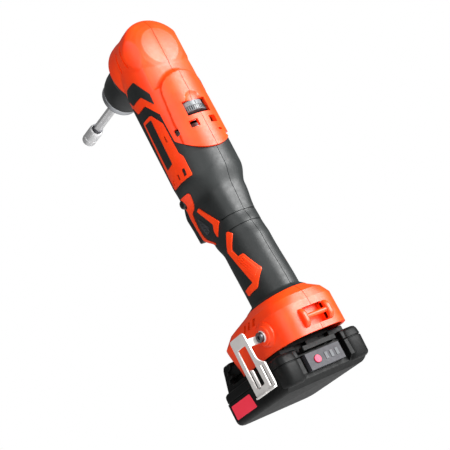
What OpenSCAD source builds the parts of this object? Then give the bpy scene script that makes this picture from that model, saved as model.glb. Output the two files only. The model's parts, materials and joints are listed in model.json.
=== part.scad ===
// Cordless right angle drill: gear head, motor section, grip, foot and slide-on battery.
// +Z runs from the battery base up to the head, -X points out of the chuck, and the two
// housing halves meet on the plane Y = 0. The motor axis is the Z axis.

/* [Overall] */
// Wall of the housing halves
wall = 2.5; // [2.2:0.1:2.7]
// Thickness of the soft overmould on the grip
skin = 2; // [1.6:0.1:2.2]
// Gap between pieces that move past each other
clearance = 0.4; // [0.3:0.05:0.5]
// Radial gap of a shaft in its bearing
running_gap = 0.05; // [0.03:0.01:0.08]

/* [Head] */
// Radius of the round head
head_r = 25.8; // [25.4:0.1:27]
// Length of the head ahead of the motor axis
head_front = 16.5; // [16:0.5:18]
// Length of the head behind the motor axis
head_rear = 21.8; // [21.4:0.2:24]
// Rounding of the head's rear edge
head_round = 10.8; // [9:0.2:11.4]

/* [Motor section] */
// Radius of the motor section
section_r = 26.8; // [26.4:0.1:28]
// Radius at the top of the neck below the head
neck_r = 17; // [16:0.5:18]
// Height of the neck's slope
neck_h = 11.5; // [10:0.5:13]
// How far the rear bulge stands proud of the section
bulge_rise = 1.4; // [1:0.1:2]
// Half angle covered by the rear bulge
bulge_angle = 36; // [30:1:42]
// Width of one cooling vent
vent_w = 6; // [4:0.5:8]
// Height of one cooling vent
vent_h = 4.5; // [3:0.5:6]

/* [Grip] */
// Radius of the overmould where it meets the motor section
skin_r = 25.8; // [25.4:0.1:26.4]
// Reach of the trigger snout ahead of the motor axis
snout_front = 29; // [28:0.5:30]
// Reach of the waist behind the motor axis
snout_rear = 21.8; // [21:0.2:23]
// Half width of the waist below the trigger
snout_half_w = 16.8; // [16.4:0.2:18]
// Half width of the waist at the trigger's pivot
pivot_half_w = 18.4; // [18:0.2:19.4]
// Reach of the upper grip ahead of the motor axis
grip_front = 15.5; // [14.5:0.5:17]
// Reach of the upper grip behind the motor axis
grip_rear = 24.5; // [24:0.5:26]
// Half width of the grip
grip_half_w = 16.9; // [16.5:0.2:18]
// Reach of the lower grip ahead of the motor axis
heel_front = 13.4; // [12.5:0.2:14.5]
// Reach of the lower grip behind the motor axis
heel_rear = 27; // [26.5:0.5:28]
// Length of the straight grip
grip_h = 40; // [36:1:46]
// Height over which the grip swells into the trigger snout
finger_h = 23; // [20:1:28]
// Height of the trigger snout
snout_h = 19; // [18:0.5:22]
// Height over which the waist swells into the motor section
swell_h = 18; // [17:0.5:22]
// Height of the round soft collar below the motor section
collar_h = 15; // [13:1:18]

/* [Foot] */
// Gap between the battery's sides and the foot
foot_gap = 4; // [3.5:0.5:5]
// Height of the foot's side wall
foot_h = 23; // [22:0.5:26]
// Height of the foot's sloping shoulder
shoulder_h = 12; // [10:0.5:14]
// Reach of the foot's prow ahead of the motor axis
foot_front = 51; // [50:0.5:52]
// Reach of the foot's lower edge ahead of the motor axis
foot_base_front = 45; // [43:0.5:47]
// Reach of the foot behind the motor axis
foot_rear = 36.7; // [36:0.2:38]
// Half width of the foot
foot_half_w = 30; // [29.6:0.2:31]

/* [Battery] */
// Reach of the battery ahead of the motor axis
battery_front = 62; // [61:0.5:66]
// Reach of the battery behind the motor axis
battery_rear = 26; // [25:0.5:28]
// Width of the battery
battery_w = 75; // [74:0.5:78]
// Height of the battery's sides
battery_h = 25; // [24.5:0.5:27]
// Height of the seam between the battery cases
seam_z = 18; // [17.5:0.5:19]
// Corner radius of the battery
battery_corner = 8; // [6:0.5:10]
// Wall of the battery cases
case_wall = 2; // [1.6:0.1:2.2]
// Height of the wall in front of the foot
upstand_h = 20; // [16:0.5:21]
// Diameter of one cell
cell_d = 18.3; // [18:0.1:18.5]
// Length of one cell
cell_l = 65; // [64:0.5:66]

/* [Chuck] */
// Radius of the chuck sleeve
sleeve_r = 17.8; // [17.5:0.1:18.4]
// Length of the chuck sleeve
sleeve_l = 33.5; // [33:0.5:36]
// Radius of the chuck body
chuck_r = 13.9; // [13.6:0.1:14.2]
// Length of the nose ring
nose_l = 6; // [5:0.5:7]
// Radius of the nose ring
nose_r = 15; // [14.4:0.2:16]
// Angle of the jaws to the spindle
jaw_angle = 15; // [14:0.5:16]
// Radius of one jaw
jaw_r = 3; // [2.8:0.1:3.1]
// Width across the flats of the bit shank
shank_af = 6.35; // [6:0.05:6.6]
// Outside diameter of the bit holder
holder_d = 11.3; // [10.5:0.1:12.5]
// Length of the bit holder's socket
holder_l = 20.3; // [18:0.5:24]
// Free length of the shank ahead of the chuck
shank_free = 46.3; // [40:0.5:52]

/* [Motor] */
// Radius of the motor can
can_r = 17.5; // [17:0.1:17.8]
// Length of the motor can
can_l = 34; // [32:0.5:38]
// Radius of the motor shaft
motor_shaft_r = 1.6; // [1.5:0.05:1.8]
// Gear module of the planet stage
gear_module = 0.6; // [0.58:0.01:0.62]
// Face width of the planet stage
gear_face = 12; // [11:0.5:14]

/* [Controls] */
// Width of the trigger
trigger_w = 17; // [16:0.5:17.4]
// Reach of the trigger ahead of the motor axis
trigger_front = 38.4; // [37:0.2:40]
// Height of the trigger
trigger_h = 30; // [28:0.5:31]
// Radius of the direction button
button_r = 3.6; // [3:0.1:3.8]
// How far the direction button stands out on each side
button_out = 2.2; // [1.6:0.1:2.6]
// Radius of the speed dial
dial_r = 11; // [10.4:0.2:11.2]
// Height of the speed dial
dial_h = 8.6; // [8:0.2:9.4]

/* [Belt clip] */
// Length of the belt clip
clip_h = 43; // [40:0.5:45]
// Width of the clip's upper leg
clip_w = 18; // [16:0.5:20]
// Thickness of the clip's steel
clip_t = 1.2; // [1:0.1:1.6]
// Gap between the clip and the battery's side
belt_gap = 5.4; // [5:0.2:7]

/* [Hidden] */
$fn = 64;

// Colours of the object
orange = [0.93, 0.24, 0.09];
soft_grey = [0.19, 0.2, 0.21];
case_black = [0.12, 0.13, 0.13];
steel = [0.72, 0.72, 0.74];
dark_steel = [0.3, 0.3, 0.32];
alloy = [0.6, 0.61, 0.63];
copper = [0.78, 0.45, 0.25];
brass = [0.8, 0.66, 0.3];
board_green = [0.1, 0.3, 0.18];
gauge_grey = [0.4, 0.4, 0.42];
gauge_red = [0.85, 0.3, 0.42];
lamp_white = [0.92, 0.92, 0.9];
cell_blue = [0.25, 0.4, 0.55];

// One overrun serves every cut
overrun = 1;
// Depth by which joined solids reach into each other
join = 1;

// Levels of the body, from the foot up
foot_z = battery_h + foot_gap;
crease_z = foot_z + foot_h;
shoulder_z = crease_z + shoulder_h;
heel_rise = 4;
heel_z = shoulder_z + heel_rise;
grip_z = heel_z + grip_h;
snout_z = grip_z + finger_h;
pivot_level_z = snout_z + snout_h;
collar_z = pivot_level_z + swell_h;
cap_z = collar_z + collar_h;

// Levels of the motor and the gears, from the motor up
end_cap_h = 7;
can_z = collar_z + skin;
can_top_z = can_z + can_l;
dial_bay_h = 5.6;
dial_z = can_top_z + dial_bay_h;
plate_t = 2;
plate_gap = 1.3;
plate_z = dial_z + dial_h + plate_gap;
ring_z = plate_z + plate_t;
ring_h = gear_face + 2 * overrun;
carrier_gap = 1;
carrier_t = 3.5;
carrier_z = ring_z + ring_h + carrier_gap;
bearing_gap = 2.5;
pinion_bearing_h = 6;
pinion_bearing_z = carrier_z + carrier_t + bearing_gap;
pinion_hub_h = 5;
bevel_gear_r = 14;
bevel_pinion_r = bevel_gear_r / 2;
spindle_z = pinion_bearing_z + pinion_bearing_h + pinion_hub_h + bevel_gear_r;

section_bore = section_r - wall;
neck_top_z = spindle_z - sleeve_r - overrun;
neck_z = neck_top_z - neck_h;
bulge_top_z = neck_z + 2 * bulge_rise;
flange_h = 3;

// Outline of the body: rows of level, front, rear, half width, squareness and ease
round_share = 2;
snout_share = 3;
foot_share = 4;
collar_front = 22;
collar_rear = 29;
collar_half_w = 20;
key_rows = [
  [foot_z, foot_base_front, foot_rear, foot_half_w, foot_share, 1],
  [crease_z, foot_front, foot_rear, foot_half_w, foot_share, 0],
  [shoulder_z, collar_front, collar_rear, collar_half_w, round_share, 1],
  [heel_z, heel_front, heel_rear, grip_half_w, round_share, 1],
  [grip_z, grip_front, grip_rear, grip_half_w, round_share, 1],
  [snout_z, snout_front, snout_rear, snout_half_w, snout_share, 1],
  [pivot_level_z, snout_front, snout_rear, pivot_half_w, snout_share, 1],
  [collar_z, skin_r, skin_r, skin_r, round_share, 1],
  [cap_z, skin_r, skin_r, skin_r, round_share, 1]
];
row_steps = 3;
ring_steps = 14;
shoulder_key = 2;

function smooth(t) = t * t * (3 - 2 * t);
function mix(a, b, t) = a + (b - a) * t;
// A row between two key rows: levels step evenly, sizes ease in and out
function row_between(p, q, t) =
  let (eased = mix(t, smooth(t), p[5]))
  [for (i = [0:5]) mix(p[i], q[i], i == 0 ? t : eased)];
// Rows from one key row to another
function body_rows(from, to) = [
  for (k = [from:to - 1]) for (s = [0:row_steps - 1])
    row_between(key_rows[k], key_rows[k + 1], s / row_steps),
  key_rows[to]
];
function raised(row, lift) = [for (i = [0:5]) row[i] + (i == 0 ? lift : 0)];
// A point of the rounded outline of a row, drawn in by inset
function outline_point(row, inset, angle) =
  let (
    a = (row[1] + row[2]) / 2 - inset,
    b = row[3] - inset,
    power = 2 / row[4]
  ) [
    (row[2] - row[1]) / 2 + a * sign(cos(angle)) * pow(abs(cos(angle)), power),
    b * pow(abs(sin(angle)), power),
    row[0]
  ];
// Half width of the body's outline at a level and a fore and aft place
function outline_half_w(row, x) =
  let (
    a = (row[1] + row[2]) / 2,
    off = abs(x - (row[2] - row[1]) / 2) / a
  ) row[3] * pow(1 - pow(min(off, 1), row[4]), 1 / row[4]);

// Half of a lofted shell on the +Y side. Each layer is [row, outer inset, inner inset].
// Outer and inner faces split along the same diagonals, so that nested shells meet face to face.
module half_shell(layers) {
  side = 2 * (ring_steps + 1);
  points = [for (l = layers) each concat(
    [for (i = [0:ring_steps]) outline_point(l[0], l[1], i * 180 / ring_steps)],
    [for (i = [ring_steps:-1:0]) outline_point(l[0], l[2], i * 180 / ring_steps)]
  )];
  last = (len(layers) - 1) * side;
  walls = [for (k = [0:len(layers) - 2]) for (j = [0:side - 1])
    let (
      a = k * side + j,
      b = k * side + (j + 1) % side,
      c = b + side,
      d = a + side
    ) each j > ring_steps ? [[a, d, b], [d, c, b]] : [[a, d, c], [a, c, b]]];
  caps = [for (i = [0:ring_steps - 1]) each [
    [i, i + 1, side - 2 - i],
    [i, side - 2 - i, side - 1 - i],
    [last + i + 1, last + i, last + side - 2 - i],
    [last + side - 2 - i, last + i, last + side - 1 - i]
  ]];
  polyhedron(points = points, faces = concat(walls, caps), convexity = 8);
}

// A cylinder along X from x0 to x1 at the spindle's height
module spindle_cylinder(x0, x1, r) {
  translate([x0, 0, spindle_z]) rotate([0, 90, 0]) cylinder(h = x1 - x0, r = r);
}

// A cylinder along Y from y0 to y1
module cross_cylinder(x, z, y0, y1, r) {
  translate([x, y0, z]) rotate([-90, 0, 0]) cylinder(h = y1 - y0, r = r);
}

module upright(x, y, z0, z1, r) {
  translate([x, y, z0]) cylinder(h = z1 - z0, r = r);
}

module ring(z0, z1, outer, inner) {
  difference() {
    upright(0, 0, z0, z1, outer);
    upright(0, 0, z0 - overrun, z1 + overrun, inner);
  }
}

module block(low, high) {
  translate(low) cube(high - low);
}

// Housing

edge_step = 0.6;
shell_layers = let (
    foot = body_rows(0, shoulder_key),
    grip = body_rows(shoulder_key, len(key_rows) - 1),
    seat = skin + wall
  ) concat(
    [for (i = [0:len(foot) - 1]) [foot[i], 0, mix(wall, seat, i / (len(foot) - 1))]],
    [for (i = [0:len(grip) - 1]) [i == 0 ? raised(grip[0], edge_step) : grip[i], skin, seat]],
    [[raised(grip[len(grip) - 1], join), skin, seat]]
  );
skin_layers = let (grip = body_rows(shoulder_key, len(key_rows) - 1))
  [for (i = [0:len(grip) - 1]) [i == 0 ? raised(grip[0], edge_step) : grip[i], 0, skin]];

// Profile of the round head, drawn in by inset: radius across, length along
module head_profile(inset, front) {
  r = head_r - inset;
  rear = head_rear - inset;
  round = head_round - inset;
  translate([0, -front]) square([r, front + rear - round]);
  translate([0, rear - round - join]) square([r - round, round + join]);
  intersection() {
    translate([r - round, rear - round]) circle(r = round);
    square([r, rear]);
  }
}

module head_solid(inset, front, sweep) {
  translate([0, 0, spindle_z]) rotate([0, 90, 0])
    rotate_extrude(angle = sweep) head_profile(inset, front);
}

// Motor section and neck, drawn in by inset
module section_solid(inset, from_z, sweep) {
  slope = inset * (section_r - neck_r) / neck_h / 2;
  rotate_extrude(angle = sweep) polygon([
    [0, from_z],
    [section_r - inset, from_z],
    [section_r - inset, neck_z - slope],
    [neck_r - inset, neck_top_z - slope],
    [0, neck_top_z - slope]
  ]);
}

module upper_shell() {
  rib_z = cap_z + 2 * flange_h;
  difference() {
    union() {
      head_solid(0, head_front, 180);
      section_solid(0, cap_z, 180);
      rotate_extrude(angle = bulge_angle) polygon([
        [section_r - wall / 2, cap_z],
        [section_r + bulge_rise, cap_z],
        [section_r + bulge_rise, bulge_top_z - 2 * bulge_rise],
        [section_r - wall / 2, bulge_top_z]
      ]);
    }
    head_solid(wall, head_front + overrun, 360);
    difference() {
      section_solid(wall, cap_z - overrun, 360);
      ring(cap_z - 2 * overrun, cap_z + flange_h, section_r, skin_r - skin - wall - clearance);
      ring(rib_z, rib_z + flange_h, section_r, can_r);
    }
  }
}

// Vents round the motor, at angles from the rear
vent_rise = 15;
vent_z = cap_z + vent_rise;
vent_angles = [17.5, 48.5, 78];
module vents() {
  for (a = vent_angles) rotate([0, 0, a])
    block([section_r - 2 * wall, -vent_w / 2, vent_z], [section_r + 2 * wall, vent_w / 2, vent_z + vent_h]);
}

dial_x = section_r + bulge_rise - dial_r + clearance / 2;
dial_window_w = 18;
module dial_window() {
  block([section_bore - wall, -dial_window_w / 2, dial_z - clearance],
    [section_r + 2 * wall, dial_window_w / 2, dial_z + dial_h + clearance]);
  upright(dial_x, 0, dial_z - clearance, dial_z + dial_h + clearance, dial_r + clearance);
}

// Trigger bay
trigger_z = snout_z;
trigger_top_z = trigger_z + trigger_h;
trigger_rear = 20;
pivot_x = -22;
pivot_drop = 6;
pivot_z = trigger_top_z - pivot_drop;
pivot_r = 1.5;
trigger_slot = trigger_w / 2 + clearance;
trigger_swing = 2.6;
bay_depth = 2;
module trigger_opening() {
  block([-trigger_front - overrun, -trigger_slot, trigger_z - trigger_swing],
    [-trigger_rear + bay_depth, trigger_slot, trigger_top_z + 2 * clearance]);
}
pivot_row = row_between(key_rows[6], key_rows[7], (pivot_z - pivot_level_z) / swell_h);
pivot_end = outline_half_w(pivot_row, pivot_x) - skin;

// Direction button bore
button_x = -15.5;
button_rise = 3;
button_z = pivot_z + button_rise;
button_row = row_between(key_rows[6], key_rows[7], (button_z - pivot_level_z) / swell_h);
button_half = outline_half_w(button_row, button_x) + button_out;

// Screws that hold the halves: place fore and aft, level and half width of the body there
screw_r = 1.5;
screw_head_r = 2.6;
screw_head_h = 2;
screw_sink = 1.2;
boss_r = 3.4;
section_screw_x = section_bore - boss_r;
function section_screw(x, z) = [x, z, sqrt(section_r * section_r - x * x)];
function grip_row(z) = row_between(key_rows[3], key_rows[4], (z - heel_z) / grip_h);
function foot_row(z) = row_between(key_rows[0], key_rows[1], (z - foot_z) / foot_h);
grip_screw_x = 10;
foot_screw_share = 0.8;
foot_screw_z = foot_z + foot_screw_share * foot_h;
foot_screw_front = 40;
foot_screw_rear = 24;
lower_screw_z = can_z + boss_r + 2 * flange_h;
grip_screw_shares = [0.2, 0.85];
section_screws = [
  section_screw(-section_screw_x, lower_screw_z + can_l / 2),
  section_screw(section_screw_x, lower_screw_z + can_l / 4)
];
body_screws = concat(
  [for (share = grip_screw_shares) let (z = heel_z + share * grip_h)
    [grip_screw_x, z, outline_half_w(grip_row(z), grip_screw_x)]],
  [for (x = [-foot_screw_front, foot_screw_rear])
    [x, foot_screw_z, outline_half_w(foot_row(foot_screw_z), x)]]
);
all_screws = concat(section_screws, body_screws);

module screw_bosses() {
  intersection() {
    for (s = section_screws) cross_cylinder(s[0], s[1], 0, s[2], boss_r);
    upright(0, 0, 0, spindle_z, section_r - wall / 2);
  }
  for (s = body_screws) cross_cylinder(s[0], s[1], 0, s[2] - skin - wall / 2, boss_r);
}

module screw_bores(head) {
  for (s = all_screws) {
    cross_cylinder(s[0], s[1], -overrun, s[2] - (head ? screw_sink : 2 * wall), screw_r);
    if (head) cross_cylinder(s[0], s[1], s[2] - screw_sink - screw_head_h, s[2] + boss_r, screw_head_r);
  }
}

// Battery channel in the foot
tongue_half_w = 23;
tongue_neck_half_w = 20.4;
tongue_step_z = foot_z + foot_gap + clearance;
tongue_lift = 13;
tongue_top_z = foot_z + tongue_lift;
tongue_rear = 14.4;
tongue_front = battery_front - 3 * case_wall;
rail_top_z = tongue_step_z - clearance;
module foot_inside() {
  rail_front = foot_base_front - 2 * wall;
  block([-rail_front, tongue_neck_half_w + clearance, foot_z],
    [tongue_rear + clearance, foot_half_w - wall / 2, rail_top_z]);
  block([tongue_rear + clearance, 0, foot_z], [foot_rear - 2 * wall, foot_half_w - 2 * wall, rail_top_z]);
  block([tongue_rear + clearance, 0, foot_z], [foot_rear - wall / 2, foot_half_w / 2, rail_top_z]);
}
module tongue_slot() {
  block([-foot_front - overrun, -tongue_half_w - clearance, foot_z - overrun],
    [-foot_base_front + 4 * wall, tongue_half_w + clearance, tongue_top_z + clearance]);
}

// Terminal block seat
block_front = 8;
block_rear = 12;
block_half_w = 18;
block_z = tongue_top_z + clearance;
block_h = 7;
module terminal_ledge() {
  block([-block_front, block_half_w, block_z], [block_rear, foot_half_w - wall / 2, block_z + block_h / 2]);
}

// Switch seat
switch_half_w = 10;
switch_front = 17.6;
switch_rear = 8;
switch_drop = 5;
switch_z = snout_z - switch_drop;
switch_h = 23;
module switch_shelf() {
  block([-block_front, switch_half_w / 2, switch_z - wall],
    [block_front, snout_half_w - skin - wall / 2, switch_z]);
}

// Belt clip bosses on both sides of the foot
clip_boss_x = 14;
clip_boss_lift = 13.5;
clip_boss_z = foot_z + clip_boss_lift;
clip_boss_r = 7;
clip_boss_rise = 2;
clip_face = foot_half_w + clip_boss_rise;
insert_r = 3;
insert_l = 8;
thread_r = 1.65;
module clip_boss() {
  cross_cylinder(clip_boss_x, clip_boss_z, tongue_half_w + clearance, clip_face, clip_boss_r);
}

// Strap lug at the rear of the foot
lug_half_w = 8.5;
lug_t = 4;
lug_h = 14;
lug_lift = 4;
lug_z = foot_z + lug_lift;
lug_reach = 3.8;
lug_depth = 5.6;
bar_r = 1.7;
bar_x = foot_rear + lug_reach - bar_r - join;
module lug_solid() {
  block([foot_rear - lug_depth - wall, 0, lug_z - wall],
    [foot_rear - wall / 2, lug_half_w + lug_t, lug_z + lug_h + wall]);
  block([foot_rear - lug_depth, lug_half_w, lug_z],
    [foot_rear + lug_reach, lug_half_w + lug_t, lug_z + lug_h]);
}
module lug_pocket() {
  block([foot_rear - lug_depth, -overrun, lug_z], [foot_rear + 2 * lug_reach, lug_half_w, lug_z + lug_h]);
}
module lug_bar() {
  cross_cylinder(bar_x, lug_z + lug_h / 2, 0, lug_half_w + lug_t / 2, bar_r);
}

// Children drawn on the +Y side, kept there or mirrored to the left side
module on_side(left) {
  mirror([0, left ? 1 : 0, 0]) children();
}

// Boss that holds one end of the trigger's pin
module pivot_boss() {
  cross_cylinder(pivot_x, pivot_z, trigger_slot, pivot_end - wall / 2, boss_r);
}

module button_bore() {
  cross_cylinder(button_x, button_z, 0, button_half + overrun, button_r + clearance);
}

// One housing half; the screw heads sit in the right half
module housing_half(left) {
  difference() {
    union() {
      on_side(left) upper_shell();
      on_side(left) half_shell(shell_layers);
      on_side(left) screw_bosses();
      on_side(left) foot_inside();
      on_side(left) terminal_ledge();
      on_side(left) switch_shelf();
      on_side(left) clip_boss();
      on_side(left) lug_solid();
      on_side(left) pivot_boss();
    }
    on_side(left) vents();
    dial_window();
    trigger_opening();
    tongue_slot();
    on_side(left) lug_pocket();
    on_side(left) screw_bores(!left);
    on_side(left) button_bore();
    on_side(left) cross_cylinder(pivot_x, pivot_z, 0, pivot_end - wall, pivot_r);
    on_side(left) cross_cylinder(clip_boss_x, clip_boss_z,
      clip_face - insert_l, clip_face + overrun, insert_r);
  }
  on_side(left) lug_bar();
}

module overmould_half(left) {
  difference() {
    on_side(left) half_shell(skin_layers);
    trigger_opening();
    on_side(left) pivot_boss();
    on_side(left) button_bore();
    if (!left) for (s = body_screws)
      cross_cylinder(s[0], s[1], s[2] - skin - wall, s[2] + boss_r, screw_head_r);
  }
}

module housing_left() {
  color(orange) housing_half(true);
}
module housing_right() {
  color(orange) housing_half(false);
}
module overmould_left() {
  color(soft_grey) overmould_half(true);
}
module overmould_right() {
  color(soft_grey) overmould_half(false);
}

module housing_screws() {
  color(dark_steel) for (s = all_screws) {
    head_y = s[2] - screw_sink - screw_head_h;
    cross_cylinder(s[0], s[1], 2 * wall - s[2], head_y, screw_r);
    difference() {
      cross_cylinder(s[0], s[1], head_y, head_y + screw_head_h, screw_head_r);
      translate([s[0], head_y + screw_head_h / 2, s[1]]) rotate([-90, 0, 0])
        cylinder(h = screw_head_h, r = screw_r, $fn = 6);
    }
  }
}

// Gears

// Trapezoid tooth: share of the pitch across, share of the tooth's height
tooth_shares = [[-0.25, 0], [-0.11, 1], [0.11, 1], [0.25, 0]];
function gear_points(teeth, root, tip, phase) = [
  for (i = [0:teeth - 1]) for (p = tooth_shares)
    let (angle = phase + 360 / teeth * (i + p[0]), r = mix(root, tip, p[1]))
    [r * cos(angle), r * sin(angle)]
];
sun_teeth = 12;
planet_teeth = 24;
ring_teeth = sun_teeth + 2 * planet_teeth;
addendum_share = 0.75;
dedendum_share = 1.08;
addendum = gear_module * addendum_share;
dedendum = gear_module * dedendum_share;
sun_pitch_r = gear_module * sun_teeth / 2;
planet_pitch_r = gear_module * planet_teeth / 2;
ring_pitch_r = gear_module * ring_teeth / 2;
planet_orbit = sun_pitch_r + planet_pitch_r;
ring_rim = 2.1;
ring_outer_r = ring_pitch_r + dedendum + ring_rim;
gear_z = ring_z + overrun;
planet_pin_r = 1.5;

module ring_gear() {
  color(steel) translate([0, 0, ring_z]) linear_extrude(ring_h) difference() {
    circle(r = ring_outer_r);
    polygon(gear_points(ring_teeth, ring_pitch_r + dedendum, ring_pitch_r - addendum, 0));
  }
}

module sun_gear() {
  color(steel) translate([0, 0, gear_z]) linear_extrude(gear_face) difference() {
    polygon(gear_points(sun_teeth, sun_pitch_r - dedendum, sun_pitch_r + addendum, 0));
    circle(r = motor_shaft_r);
  }
}

module planet_gear(index) {
  color(steel) rotate([0, 0, 120 * index]) translate([planet_orbit, 0, gear_z])
    linear_extrude(gear_face) difference() {
      polygon(gear_points(planet_teeth, planet_pitch_r - dedendum, planet_pitch_r + addendum,
        180 / planet_teeth));
      circle(r = planet_pin_r + running_gap);
    }
}

carrier_rim = 5.4;
carrier_r = planet_orbit + carrier_rim;
carrier_shaft_r = 4;
pinion_shaft_r = 3;
pinion_bearing_top = pinion_bearing_z + pinion_bearing_h;
pinion_z = pinion_bearing_top + pinion_hub_h;
bevel_teeth = 24;
bevel_scale_share = 0.68;
bevel_addendum = 0.8;
bevel_gear_dedendum = 1.8;
bevel_pinion_dedendum = 0.7;
pinion_face = bevel_gear_r * (1 - bevel_scale_share);
gear_depth = bevel_pinion_r * (1 - bevel_scale_share);

module planet_carrier() {
  color(dark_steel) {
    upright(0, 0, carrier_z, carrier_z + carrier_t, carrier_r);
    upright(0, 0, carrier_z + carrier_t - join, pinion_bearing_top, carrier_shaft_r);
    upright(0, 0, pinion_bearing_top - join, pinion_z + pinion_face, pinion_shaft_r);
    for (i = [0:2]) rotate([0, 0, 120 * i])
      upright(planet_orbit, 0, gear_z, carrier_z + join, planet_pin_r);
  }
}

module bevel_pinion() {
  color(steel) difference() {
    union() {
      translate([0, 0, pinion_z]) linear_extrude(height = pinion_face, scale = bevel_scale_share)
        polygon(gear_points(bevel_teeth / 2, bevel_pinion_r - bevel_pinion_dedendum,
          bevel_pinion_r + bevel_addendum, 360 / bevel_teeth));
      upright(0, 0, pinion_bearing_top + clearance, pinion_z + join, bevel_pinion_r - 2 * bevel_addendum);
    }
    upright(0, 0, pinion_bearing_z, spindle_z, pinion_shaft_r);
  }
}

spindle_r = 5;
spindle_front_r = 7;
bevel_hub_r = 9;
bevel_hub_l = 3.4;

module bevel_gear() {
  color(steel) difference() {
    union() {
      translate([bevel_pinion_r, 0, spindle_z]) rotate([0, -90, 0])
        linear_extrude(height = gear_depth, scale = bevel_scale_share)
          polygon(gear_points(bevel_teeth, bevel_gear_r - bevel_gear_dedendum,
            bevel_gear_r + bevel_addendum, 0));
      spindle_cylinder(bevel_pinion_r - join, bevel_pinion_r + bevel_hub_l, bevel_hub_r);
    }
    spindle_cylinder(-bevel_pinion_r, 2 * bevel_gear_r, spindle_r);
  }
}

// Gear case and bearings
case_inset = wall + clearance;
case_front = head_front - join / 2;
rear_bearing_l = 4.8;
rear_bearing_r = 8;
rear_bearing_x = head_rear - case_inset - case_wall - rear_bearing_l;
front_bearing_l = 7;
front_bearing_r = 13;
front_bearing_x = case_front - front_bearing_l - clearance;
pinion_bearing_r = 9.5;
gear_room = 2.2;
bevel_room_r = bevel_gear_r + gear_room;
pinion_room_r = bevel_pinion_r + gear_room;
carrier_room_r = carrier_r + carrier_gap;

module gear_case() {
  color(alloy) difference() {
    union() {
      head_solid(case_inset, case_front, 360);
      section_solid(case_inset, ring_z, 360);
    }
    upright(0, 0, ring_z - overrun, ring_z + ring_h, ring_outer_r);
    upright(0, 0, ring_z, carrier_z + carrier_t + carrier_gap, carrier_room_r);
    upright(0, 0, carrier_z, pinion_bearing_z + overrun, carrier_shaft_r + carrier_gap);
    upright(0, 0, pinion_bearing_z, pinion_bearing_top, pinion_bearing_r);
    upright(0, 0, pinion_bearing_top - overrun, spindle_z, pinion_room_r);
    spindle_cylinder(-front_bearing_x + overrun, rear_bearing_x - overrun, bevel_room_r);
    spindle_cylinder(-head_front - overrun, 0, front_bearing_r);
    spindle_cylinder(0, rear_bearing_x + rear_bearing_l, rear_bearing_r);
  }
}

// A bearing along the spindle
module spindle_bearing(x0, x1, outer, inner) {
  difference() {
    spindle_cylinder(x0, x1, outer);
    spindle_cylinder(x0 - overrun, x1 + overrun, inner);
  }
}
module spindle_bearing_front() {
  color(steel) spindle_bearing(-front_bearing_x - front_bearing_l, -front_bearing_x, front_bearing_r,
    spindle_front_r + running_gap);
}
module spindle_bearing_rear() {
  color(steel) spindle_bearing(rear_bearing_x, rear_bearing_x + rear_bearing_l, rear_bearing_r,
    spindle_r + running_gap);
}
module pinion_bearing() {
  color(steel) ring(pinion_bearing_z, pinion_bearing_top, pinion_bearing_r, carrier_shaft_r + running_gap);
}

// Spindle and chuck
chuck_gap = 0.7;
chuck_x = head_front + chuck_gap;
chuck_l = sleeve_l + nose_l;
nose_bore_r = 11.8;
bit_bore_r = 5.4;
bit_bore_start = 14;
sleeve_t = 1.4;
sleeve_bore_r = sleeve_r - sleeve_t;
sleeve_flange = 2;
sleeve_lip = 4.5;
nut_start = 12;
nut_l = 4;
jaw_reach = 2.5;
jaw_tip = sleeve_l + jaw_reach;
jaw_tip_r = 4;
jaw_l = 28;
jaw_gap = 0.15;
shank_in = 21.5;

module chuck_cylinder(from, to, r) {
  spindle_cylinder(-chuck_x - to, -chuck_x - from, r);
}
// A place on the axis of one jaw, its tip at the origin and its tail along +Z
module on_jaw(index) {
  translate([0, 0, spindle_z]) rotate([120 * index, 0, 0])
    translate([-chuck_x - jaw_tip, 0, jaw_tip_r]) rotate([0, 90 - jaw_angle, 0]) children();
}

module spindle() {
  color(steel) {
    spindle_cylinder(-front_bearing_x, rear_bearing_x + rear_bearing_l, spindle_r);
    spindle_cylinder(-chuck_x, -front_bearing_x + join, spindle_front_r);
  }
}

module chuck_body() {
  color(dark_steel) difference() {
    union() {
      chuck_cylinder(0, sleeve_l, chuck_r);
      chuck_cylinder(sleeve_l - join, chuck_l, nose_bore_r);
    }
    chuck_cylinder(bit_bore_start, chuck_l + overrun, bit_bore_r);
    for (i = [0:2]) on_jaw(i) translate([0, 0, -nose_l])
      cylinder(h = jaw_l + 3 * nose_l, r = jaw_r + running_gap);
  }
}

module chuck_nose_ring() {
  bevel = nose_l / 4;
  color(alloy) translate([-chuck_x - chuck_l, 0, spindle_z]) rotate([0, 90, 0]) rotate_extrude() polygon([
    [nose_bore_r, 0],
    [nose_r - bevel, 0],
    [nose_r, bevel],
    [nose_r, nose_l],
    [nose_bore_r, nose_l]
  ]);
}

module chuck_sleeve() {
  bevel = sleeve_flange / 2;
  color(case_black) difference() {
    translate([-chuck_x - sleeve_l + clearance, 0, spindle_z]) rotate([0, 90, 0]) rotate_extrude() polygon([
      [0, 0],
      [sleeve_r - bevel, 0],
      [sleeve_r, bevel],
      [sleeve_r, sleeve_l - 2 * clearance - bevel],
      [sleeve_r - bevel, sleeve_l - 2 * clearance],
      [0, sleeve_l - 2 * clearance]
    ]);
    chuck_cylinder(sleeve_flange, sleeve_l - sleeve_lip, sleeve_bore_r);
    chuck_cylinder(-overrun, sleeve_l + overrun, chuck_r + running_gap);
  }
}

module chuck_nut() {
  color(steel) difference() {
    chuck_cylinder(nut_start, nut_start + nut_l, sleeve_bore_r);
    chuck_cylinder(nut_start - overrun, nut_start + nut_l + overrun, chuck_r + running_gap);
  }
}

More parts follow.
